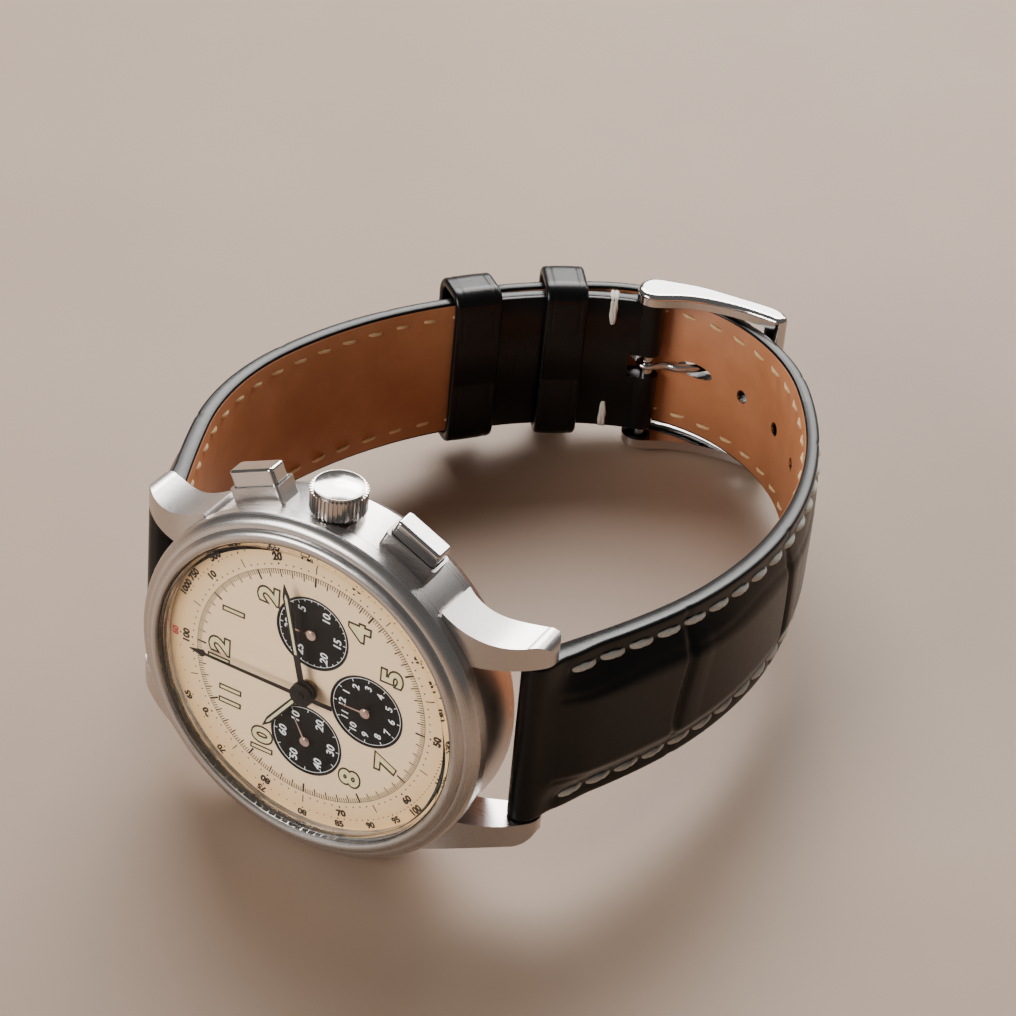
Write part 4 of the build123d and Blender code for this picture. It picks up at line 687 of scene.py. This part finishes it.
SHORT_LENGTH = strap_length("short")
fold = make_piece("strap_short_fold", lining_shape("short", FOLD_START, SHORT_LENGTH - 1.2, 0.05, -0.32, 0.2),
                  MAT["leather"], FIXED, sharp=50.0)
cut(fold, [box_cutter("short", SHORT_LENGTH - 2.2, SHORT_LENGTH + 1, TONGUE_SLOT_HALF, -3.0, 5.0)])


# ------------------------------------------------------------------ stitches
def stitch(start, end, lift, radius, plies=3, turns=1.6, rings=16, sides=12, slant=0.0):
    """A short length of twisted thread that dives into the leather at both ends."""
    start, end, lift = Vector(start), Vector(end), Vector(lift)
    along = (end - start).normalized()
    up = (lift - along * lift.dot(along)).normalized()
    aside = along.cross(up)
    loops = []
    for ring in range(rings + 1):
        share = ring / rings
        swell = math.sin(math.pi * share)
        size = radius * (0.25 + 0.75 * swell ** 0.45)
        centre = start + (end - start) * share + up * (radius * (1.25 * swell ** 0.5 - 0.75))
        centre += aside * slant * (share - 0.5)
        loop = []
        for side in range(sides):
            turn = 2 * math.pi * side / sides
            ply = 1.0 + 0.16 * math.cos(plies * (turn - 2 * math.pi * turns * share / plies))
            loop.append(tuple(centre + (aside * math.cos(turn) + up * 0.8 * math.sin(turn)) * size * ply))
        loops.append(loop)
    return skin(loops)


def stitch_rows(piece, first, last, length, radius, inner):
    """Both rows of stitches on one face of a strap piece."""
    shapes = []
    count = int((last - first) / STITCH_PITCH)
    for number in range(count + 1):
        middle = first + number * STITCH_PITCH
        for side in (-1, 1):
            points = []
            for distance in (middle - length / 2, middle + length / 2):
                across = side * (half_width(piece, distance) - STITCH_INSET)
                depth = surface_depth(piece, distance, across)
                if inner:
                    # The free keeper has pressed the last stitches into the lining.
                    depth = 0.08 if piece == "short" and middle > FREE_KEEPER_REACH else -0.05
                points.append(Vector(strap_point(piece, distance, across, depth)))
            angle = strap_at(piece, middle)[1]
            outward = Vector((0, -math.sin(angle), math.cos(angle))) * (1 if piece == "short" else -1)
            lift = -outward if inner else outward
            shapes.append(stitch(points[0], points[1], lift, radius, slant=0.22 * side))
    return joined(shapes)


OUTER_LAST = {"short": 55.0, "long": strap_length("long") - 7.0}
INNER_LAST = {"short": FOLD_START - 2.0, "long": strap_length("long") - 7.0}
for piece in ("short", "long"):
    outer_rows = stitch_rows(piece, FIRST_STITCH, OUTER_LAST[piece], 3.35, 0.40, False)
    inner_rows = stitch_rows(piece, FIRST_STITCH + STITCH_PITCH / 2, INNER_LAST[piece], 2.05, 0.22, True)
    make_piece(f"strap_{piece}_stitches", outer_rows, MAT["thread"], FIXED, sharp=180.0)
    make_piece(f"strap_{piece}_inner_stitches", inner_rows, MAT["thread_inner"], FIXED, sharp=180.0)


def cross_stitches():
    """The single heavy stitch over each edge of the fold, near the buckle."""
    shapes = []
    half = half_width("short", CROSS_STITCH_AT)
    face = between(CROWNED["short"], CROSS_STITCH_AT)
    angle = strap_at("short", CROSS_STITCH_AT)[1]
    outward = Vector((0, -math.sin(angle), math.cos(angle)))
    for side in (-1, 1):
        for skew in (-0.22, 0.22):
            at_edge, at_middle = CROSS_STITCH_AT + skew, CROSS_STITCH_AT + skew * 0.2
            outer_end = strap_point("short", at_edge, side * (half - 0.05), face + 0.1)
            inner_end = strap_point("short", at_edge, side * (half - 0.05), -0.42)
            inward = strap_point("short", at_middle, side * (half - 3.6), -0.36)
            over = strap_point("short", at_middle, side * (half - 3.0), face)
            shapes.append(stitch(inner_end, outer_end, (side, 0, 0), 0.30, turns=1.2))
            shapes.append(stitch(inner_end, inward, -outward, 0.30, turns=1.8))
            shapes.append(stitch(outer_end, over, outward, 0.26, turns=1.8))
    return joined(shapes)


make_piece("strap_cross_stitches", cross_stitches(), MAT["thread"], FIXED, sharp=180.0)


# ------------------------------------------------------------------ keepers
def keeper_shape(place, width, room):
    """A leather band round both straps: a rounded loop swept with a soft-edged strip, with the
    overlap of its ends inside and a crease along each edge."""
    stack = SHORT_THICKNESS + STRAP_GAP + LONG_THICKNESS
    middle_depth = stack / 2 + room / 2 - 0.1
    half_x = STRAP_END_WIDTH / 2 + 0.25 + 0.15 + KEEPER_WALL / 2
    half_z = stack / 2 + room + KEEPER_WALL / 2
    corner = 1.5
    path = []
    for quarter, (sign_x, sign_z) in enumerate(((1, 1), (-1, 1), (-1, -1), (1, -1))):
        corner_x, corner_z = sign_x * (half_x - corner), sign_z * (half_z - corner)
        for step in range(9):
            turn = math.pi / 2 * (quarter + step / 8)
            path.append((corner_x, corner_z, math.cos(turn), math.sin(turn)))
    filled = []
    for place_in_path, (x, z, nx, nz) in enumerate(path):
        filled.append((x + corner * nx, z + corner * nz, nx, nz))
        following = path[(place_in_path + 1) % len(path)]
        if (x, z) != (following[0], following[1]):
            for step in range(1, 8):
                share = step / 8
                ax, az = x + corner * nx, z + corner * nz
                bx, bz = following[0] + corner * following[2], following[1] + corner * following[3]
                filled.append((ax + (bx - ax) * share, az + (bz - az) * share, nx, nz))
    (y, z0), angle = strap_at("short", place, middle_depth)
    along = Vector((0, math.cos(angle), math.sin(angle)))
    outward = Vector((0, -math.sin(angle), math.cos(angle)))
    centre = Vector((0, y, z0))
    half_w, half_t, soft = width / 2, KEEPER_WALL / 2, 0.46
    section = []
    for sign_w, sign_t, first in ((1, 1, 0), (-1, 1, 1), (-1, -1, 2), (1, -1, 3)):
        corner_w, corner_t = sign_w * (half_w - soft), sign_t * (half_t - soft)
        for step in range(5):
            turn = math.pi / 2 * (first + step / 4)
            section.append((corner_w + soft * math.cos(turn), corner_t + soft * math.sin(turn)))
        if first == 0:
            for share in (0.86, 0.80, 0.74, 0.6, 0.3, 0.0, -0.3, -0.6, -0.74, -0.80, -0.86):
                groove = 0.05 if abs(abs(share) - 0.80) < 0.01 else 0.0
                section.append((share * (half_w - soft), half_t + 0.05 * (1 - share * share) - groove))
    loops = []
    for x, z, nx, nz in filled:
        loop = []
        for w, t in section:
            place_x = Vector((x + nx * t, 0, 0))
            loop.append(tuple(centre + place_x + outward * (z + nz * t) + along * w))
        loops.append(loop)
    band = skin(loops, closed=True)
    # The overlapped end, skived thin, on the inside face.
    lap = []
    low = -(half_z + half_t)
    for x, rise in ((-1.9, 0.0), (-1.7, 0.16), (3.4, 0.16), (4.6, 0.02)):
        loop = []
        for w, t in ((half_w - 0.25, 0.1), (half_w - 0.32, -rise),
                     (-half_w + 0.32, -rise), (-half_w + 0.25, 0.1)):
            loop.append(tuple(centre + Vector((x, 0, 0)) + outward * (low + t) + along * w))
        lap.append(loop)
    return joined([band, skin(lap)])


make_piece("free_keeper_band", keeper_shape(FREE_KEEPER_AT, 5.8, 0.25), MAT["leather"], "free_keeper",
           ["free_keeper"], sharp=50.0)
make_piece("fixed_keeper_band", keeper_shape(FIXED_KEEPER_AT, 5.0, 0.70), MAT["leather"], FIXED,
           ["fixed_keeper"], sharp=50.0)


# ------------------------------------------------------------------ buckle tongue
def wire(path, radii, sides=20):
    """A round wire along points (y, z) in the plane through the strap's middle."""
    loops = []
    for place, (y, z) in enumerate(path):
        before, after = path[max(place - 1, 0)], path[min(place + 1, len(path) - 1)]
        along = Vector((0, after[0] - before[0], after[1] - before[1])).normalized()
        aside = Vector((1, 0, 0))
        up = along.cross(aside)
        loop = []
        for side in range(sides):
            turn = 2 * math.pi * side / sides
            reach = (aside * math.cos(turn) + up * math.sin(turn) * 0.85) * radii[place]
            loop.append(tuple(Vector((0, y, z)) + reach))
        loops.append(loop)
    return skin(loops)


def smooth_path(points, steps=8):
    """Catmull-Rom curve through points."""
    path = []
    for place in range(len(points) - 1):
        p0, p1 = points[max(place - 1, 0)], points[place]
        p2, p3 = points[place + 1], points[min(place + 2, len(points) - 1)]
        for step in range(steps):
            t = step / steps
            path.append(tuple(
                0.5 * (2 * b + (c - a) * t + (2 * a - 5 * b + 4 * c - d) * t * t
                       + (3 * b - a - 3 * c + d) * t**3)
                for a, b, c, d in zip(p0, p1, p2, p3)
            ))
    return path + [points[-1]]


def tongue_shape():
    """A wire wrapped round the bar, out through the buckled hole and over the crossbar."""
    bar_y, bar_z = strap_at("short", strap_length("short"), 0.9)[0]
    wrap = 1.06
    points = []
    for degrees in range(-110, 151, 20):
        turn = math.radians(degrees)
        points.append((bar_y + wrap * math.cos(turn), bar_z + wrap * math.sin(turn)))
    hole = HOLES[BUCKLED_HOLE]
    for distance, depth in ((hole + 3.6, -1.0), (hole + 1.9, -0.75), (hole + 0.2, 0.6), (hole - 1.4, 2.9),
                            (hole - 4.2, 4.5), (hole - 7.0, 4.95), (hole - 8.9, 4.8)):
        points.append(strap_at("long", distance, depth)[0])
    path = smooth_path(points)
    radii = []
    for place in range(len(path)):
        ahead = len(path) - 1 - place
        start = 0.32 + 0.22 * smooth_step((place - 96) / 24)
        end_scale = 0.55 if ahead == 0 or place == 0 else 1.0
        radii.append(min(start, 0.30 + 0.24 * smooth_step(ahead / 14)) * end_scale)
    return wire(path, radii)


make_piece("buckle_tongue_wire", tongue_shape(), MAT["steel_polished"], "buckle_tongue",
           ["buckle_tongue"], sharp=60.0)


# ------------------------------------------------------------------ crystal
CRYSTAL_RADIUS = 17.4


def dome(reach, top, rim, radius):
    sphere = (reach * reach + (top - rim) ** 2) / (2 * (top - rim))
    return top - sphere + math.sqrt(sphere * sphere - radius * radius)


def crystal_shape(sides=320, rings=24):
    """The domed crystal: a lathe of its outer face, polished edge and hollow underside."""
    profile = []
    for ring_number in range(1, rings + 1):
        radius = (CRYSTAL_RADIUS - 0.15) * ring_number / rings
        profile.append((radius, dome(CRYSTAL_RADIUS - 0.15, 2.95, 2.0, radius)))
    profile += [(CRYSTAL_RADIUS - 0.05, 1.93), (CRYSTAL_RADIUS, 1.84), (CRYSTAL_RADIUS, 0.93),
                (CRYSTAL_RADIUS - 0.04, 0.9), (16.97, 0.9), (16.93, 0.95)]
    inside_reach = CRYSTAL_RADIUS - 0.6
    for ring_number in range(rings, 0, -1):
        radius = inside_reach * ring_number / rings
        profile.append((radius, dome(inside_reach, 2.15, 1.75, radius)))
    vertices = [(0.0, 0.0, 2.95)]
    for radius, level in profile:
        for side in range(sides):
            turn = 2 * math.pi * side / sides
            vertices.append((radius * math.cos(turn), radius * math.sin(turn), level))
    vertices.append((0.0, 0.0, 2.15))
    faces = []
    for side in range(sides):
        following = (side + 1) % sides
        faces.append([0, 1 + side, 1 + following])
        last = 1 + (len(profile) - 1) * sides
        faces.append([len(vertices) - 1, last + following, last + side])
        for row in range(len(profile) - 1):
            here, there = 1 + row * sides, 1 + (row + 1) * sides
            faces.append([here + side, there + side, there + following, here + following])
    return vertices, faces


make_piece("crystal_dome", crystal_shape(), MAT["sapphire"], FIXED, ["crystal"], sharp=35.0)


# ------------------------------------------------------------------ dial printing
PRINT = 0.015


def dial_point(radius, clockwise, centre=(0.0, 0.0)):
    turn = math.radians(clockwise)
    return (centre[0] + radius * math.sin(turn), centre[1] + radius * math.cos(turn))


def tick(clockwise, inner, outer, width, low, high, centre=(0.0, 0.0)):
    """A radial line on the dial."""
    turn = math.radians(clockwise)
    aside = (math.cos(turn) * width / 2, -math.sin(turn) * width / 2)
    (ax, ay), (bx, by) = dial_point(inner, clockwise, centre), dial_point(outer, clockwise, centre)
    outline = [(ax - aside[0], ay - aside[1]), (ax + aside[0], ay + aside[1]),
               (bx + aside[0], by + aside[1]), (bx - aside[0], by - aside[1])]
    return prism(outline[::-1], low, high)


def dot(clockwise, radius, size, low, high, centre=(0.0, 0.0), sides=8):
    x, y = dial_point(radius, clockwise, centre)
    outline = []
    for side in range(sides):
        turn = 2 * math.pi * side / sides
        outline.append((x + size * math.cos(turn), y + size * math.sin(turn)))
    return prism(outline, low, high)


def band(radius, width, low, high, centre=(0.0, 0.0), sides=160):
    """A printed circle."""
    loops = []
    for side in range(sides):
        turn = 2 * math.pi * side / sides
        loop = []
        for reach, level in ((radius - width / 2, low), (radius + width / 2, low),
                             (radius + width / 2, high), (radius - width / 2, high)):
            loop.append((centre[0] + reach * math.cos(turn), centre[1] + reach * math.sin(turn), level))
        loops.append(loop)
    return skin(loops, closed=True)


def glyphs(text, height, weight=0.0, shear=0.0, spacing=1.0):
    """Flat text as (vertices, faces), centred, its digits of the given height."""
    curve = bpy.data.curves.new("glyphs", "FONT")
    curve.body = text
    curve.offset = weight / height * 0.7
    curve.shear = shear
    curve.space_character = spacing
    curve.resolution_u = 4
    curve.extrude = 0.02
    carrier = bpy.data.objects.new("glyphs", curve)
    bpy.context.scene.collection.objects.link(carrier)
    bpy.context.view_layer.update()
    mesh = bpy.data.meshes.new_from_object(carrier.evaluated_get(bpy.context.evaluated_depsgraph_get()))
    low_y, high_y = min(v.co.y for v in mesh.vertices), max(v.co.y for v in mesh.vertices)
    low_x, high_x = min(v.co.x for v in mesh.vertices), max(v.co.x for v in mesh.vertices)
    scale = (height + 2 * weight) / (high_y - low_y)
    middle = ((low_x + high_x) / 2, (low_y + high_y) / 2)
    points = [((v.co.x - middle[0]) * scale, (v.co.y - middle[1]) * scale, v.co.z > 0) for v in mesh.vertices]
    faces = [list(face.vertices) for face in mesh.polygons]
    bpy.data.objects.remove(carrier)
    bpy.data.meshes.remove(mesh)
    bpy.data.curves.remove(curve)
    return points, faces


def label(text, height, clockwise, radius, low, high, centre=(0.0, 0.0), turn=0.0, widen=1.0, **style):
    """Text on the dial: turn is how far its top leans clockwise from 12 o'clock."""
    points, faces = glyphs(text, height, **style)
    x0, y0 = dial_point(radius, clockwise, centre)
    lean = -math.radians(turn)
    vertices = []
    for x, y, upper in points:
        x *= widen
        vertices.append((x0 + x * math.cos(lean) - y * math.sin(lean),
                         y0 + x * math.sin(lean) + y * math.cos(lean), high if upper else low))
    return vertices, faces


def reading_turn(clockwise):
    """Labels round the rim stand with their tops outward in the upper half and inward below."""
    bearing = clockwise % 360
    return bearing if bearing <= 90 or bearing >= 270 else bearing + 180


def bar_numeral(x, y, width, height, weight, low, high):
    half_w, half_h = width / 2 + weight, height / 2 + weight
    corners = ((-half_w, -half_h), (half_w, -half_h), (half_w, half_h), (-half_w, half_h))
    return prism([(x + across, y + up) for across, up in corners], low, high)


TRACK_OUTER = 13.65
ink, ink_red = [], []
ink.append(band(TRACK_OUTER, 0.05, 0.0, PRINT))
for fifth in range(300):
    clockwise = fifth * 1.2
    if fifth % 25 == 0:
        ink.append(tick(clockwise, 12.55, TRACK_OUTER + 0.02, 0.22, 0.0, PRINT))
    elif fifth % 5 == 0:
        ink.append(tick(clockwise, 12.75, TRACK_OUTER, 0.13, 0.0, PRINT))
    else:
        ink.append(tick(clockwise, 13.12, TRACK_OUTER, 0.09, 0.0, PRINT))
for hundredth in range(100):
    clockwise = hundredth * 3.6
    if hundredth % 10 == 5:
        ink.append(tick(clockwise, 14.1, 15.05, 0.11, 0.0, PRINT))
    elif hundredth % 10 == 0:
        ink.append(dot(clockwise, 14.3, 0.12, 0.0, PRINT))
        text = str(hundredth or 100)
        ink.append(label(text, 0.74, clockwise, 15.05, 0.0, PRINT, turn=reading_turn(clockwise), weight=0.06,
                         widen=1.1))
    else:
        ink.append(dot(clockwise, 14.2, 0.095, 0.0, PRINT))
SPEEDS = [1000, 750, 500, 400, 300, 250, 200, 190, 180, 170, 160, 150, 140, 130, 120, 110, 100, 95, 90, 85, 80,
          75, 70, 65, 60]
SECONDS_AT_UNIT = 3600
for speed in SPEEDS:
    clockwise = SECONDS_AT_UNIT / speed * 6
    place = ink_red if speed == 60 else ink
    text = label(str(speed), 0.70, clockwise, 16.42, 0.0, PRINT, turn=reading_turn(clockwise), weight=0.055,
                 widen=1.08)
    place.append(text)
    ink.append(dot(clockwise, 15.78, 0.10, 0.0, PRINT))
BETWEEN_SPEEDS = [*range(61, 125), *range(125, 200, 5), *range(200, 300, 10), *range(300, 500, 25),
                  550, 600, 650, 700, 900]
for speed in BETWEEN_SPEEDS:
    if speed not in SPEEDS:
        ink.append(dot(SECONDS_AT_UNIT / speed * 6, 15.78, 0.075, 0.0, PRINT))

HOUR_NUMERALS = [(1, 10.85), (2, 10.75), (4, 10.75), (5, 10.9), (7, 10.9), (8, 10.7), (10, 10.6), (11, 10.85),
                 (12, 10.95)]
NUMERAL_HEIGHT = 2.2
NUMERAL_WIDEN = 1.2
BAR_WIDTH = 0.14
outlines, fillings = [], []
for hour, radius in HOUR_NUMERALS:
    x, y = dial_point(radius, hour * 30)
    for weight, low, high, pile in ((0.29, 0.0, PRINT, outlines), (0.085, 0.0, 2 * PRINT, fillings)):
        if hour in (1, 11):
            for shift in ((0.0,) if hour == 1 else (-0.83, 0.83)):
                pile.append(bar_numeral(x + shift, y, BAR_WIDTH, NUMERAL_HEIGHT, weight, low, high))
            continue
        shift, digit = 0.0, str(hour)
        if hour in (10, 12):
            pile.append(bar_numeral(x - 1.22, y, BAR_WIDTH, NUMERAL_HEIGHT, weight, low, high))
            shift, digit = 0.55, str(hour % 10)
        flat, faces = glyphs(digit, NUMERAL_HEIGHT, weight)
        vertices = []
        for px, py, upper in flat:
            vertices.append((x + shift + px * NUMERAL_WIDEN, y + py, high if upper else low))
        pile.append((vertices, faces))
make_piece("dial_scales", joined(ink), MAT["ink"], FIXED, sharp=30.0)
make_piece("dial_scale_red", joined(ink_red), MAT["ink_red"], FIXED, sharp=30.0)
make_piece("hour_numeral_outlines", joined(outlines), MAT["ink_olive"], FIXED, sharp=30.0)
make_piece("hour_numeral_fillings", joined(fillings), MAT["numeral"], FIXED, sharp=30.0)

SUBDIAL_LEVEL = -0.08
# Centre, how many numbers, what each counts, ticks, how often one is long, height of the numbers.
SUBDIALS = [
    ((SUBDIAL_OFFSET, 0.0), 6, 5, 30, 5, 0.86),
    ((-SUBDIAL_OFFSET, 0.0), 6, 10, 12, 1, 0.90),
    ((0.0, -SUBDIAL_OFFSET), 12, 1, 12, 1, 0.76),
]
white = []
for centre, count, unit, ticks, long_every, height in SUBDIALS:
    low, high = SUBDIAL_LEVEL, SUBDIAL_LEVEL + PRINT
    white.append(band(3.93, 0.05, low, high, centre, 96))
    for number in range(ticks):
        inner = 3.55 if number % long_every == 0 else 3.72
        white.append(tick(number * 360 / ticks, inner, 3.93, 0.08, low, high, centre))
    for number in range(count):
        text = str((number or count) * unit)
        white.append(label(text, height, number * 360 / count, 2.9, low, high, centre, weight=0.02, shear=0.12,
                           widen=1.05))
make_piece("subdial_printing", joined(white), MAT["ink_white"], FIXED, sharp=30.0)

rims = []
for subdial in SUBDIALS:
    rims.append(band(SUBDIAL_RADIUS, 0.1, SUBDIAL_LEVEL, 0.012, subdial[0], 96))
make_piece("subdial_rims", joined(rims), MAT["ink"], FIXED, sharp=30.0)


# ------------------------------------------------------------------ fillings in the hands
def hand_axes(clockwise):
    turn = math.radians(clockwise)
    return (math.sin(turn), math.cos(turn)), (math.cos(turn), -math.sin(turn))


def hand_filling(clockwise, start, end, width, level):
    """The pale channel down the middle of a pencil hand."""
    (ax, ay), (bx, by) = hand_axes(clockwise)
    outline = []
    shoulder = end - 0.5
    for along, aside in ((start, -width / 2), (shoulder, -width / 2), (end, 0.0), (shoulder, width / 2),
                         (start, width / 2)):
        outline.append((ax * along + bx * aside, ay * along + by * aside))
    return prism(outline[::-1], level, level + 0.03)


HOUR_ANGLE = 306.4
MINUTE_ANGLE = 76.5
make_piece("hour_hand_filling", hand_filling(HOUR_ANGLE, 2.3, 7.6, 0.30, 0.69), MAT["lume"], "hour_hand")
make_piece("minute_hand_filling", hand_filling(MINUTE_ANGLE, 4.6, 11.6, 0.28, 1.19), MAT["lume"], "minute_hand")


# ------------------------------------------------------------------ floor, light and camera
def floor_material():
    material, tree, shader = new_material("floor", Roughness=0.55)
    place = node(tree, "ShaderNodeTexCoord").outputs["Object"]
    fine = noise(tree, place, 30.0, 4.0, 0.5)
    tone = ramp(tree, fine, [(0.3, (0.36, 0.250, 0.180)), (0.7, (0.39, 0.275, 0.20))])
    tree.links.new(tone, shader.inputs["Base Color"])
    return material


floor_mesh = bpy.data.meshes.new("floor")
FLOOR = 1.5
corners = [(-FLOOR, -FLOOR, 0), (FLOOR, -FLOOR, 0), (FLOOR, FLOOR, 0), (-FLOOR, FLOOR, 0)]
floor_mesh.from_pydata(corners, [], [(0, 1, 2, 3)])
floor_mesh.materials.append(floor_material())
floor = bpy.data.objects.new("floor", floor_mesh)
bpy.context.scene.collection.objects.link(floor)
floor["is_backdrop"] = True


def soft_light(name, place, aim, size, power, colour=(1.0, 1.0, 1.0)):
    lamp = bpy.data.lights.new(name, "AREA")
    lamp.shape = "RECTANGLE"
    lamp.size, lamp.size_y = size
    lamp.energy = power
    lamp.color = colour
    made = bpy.data.objects.new(name, lamp)
    made.location = place
    made.rotation_euler = (Vector(aim) - Vector(place)).to_track_quat("-Z", "Y").to_euler()
    bpy.context.scene.collection.objects.link(made)
    return made


AIM = (0.005, -0.008, 0.025)
soft_light("key_back_left", (-0.33, 0.50, 0.58), AIM, (0.62, 0.46), 9.0, (1.0, 0.985, 0.96))
soft_light("front_left", (-0.36, -0.62, 0.38), AIM, (0.45, 0.30), 5.0, (1.0, 0.96, 0.91))
soft_light("back", (-0.05, 0.75, 0.46), AIM, (0.75, 0.36), 5.6, (1.0, 0.98, 0.96))

world = bpy.data.worlds.new("studio")
world.use_nodes = True
world.node_tree.nodes["Background"].inputs["Color"].default_value = (0.80, 0.78, 0.76, 1.0)
world.node_tree.nodes["Background"].inputs["Strength"].default_value = 0.16
bpy.context.scene.world = world

CAMERA_PLACE = WATCH @ Vector((205.789, -134.253, 224.316))
CAMERA_AIM = WATCH @ Vector((8.026, -5.616, -29.215))
CAMERA_ROLL = math.radians(-1.21)
camera_data = bpy.data.cameras.new("camera")
camera_data.lens = 115.7
camera_data.sensor_width = 36.0
camera_data.clip_start = 0.01
camera = bpy.data.objects.new("camera", camera_data)
camera.location = CAMERA_PLACE
facing = (CAMERA_AIM - CAMERA_PLACE).to_track_quat("-Z", "Y")
camera.rotation_mode = "QUATERNION"
camera.rotation_quaternion = facing @ Matrix.Rotation(-CAMERA_ROLL, 3, "Z").to_quaternion()
bpy.context.scene.collection.objects.link(camera)
bpy.context.scene.camera = camera

low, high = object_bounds()
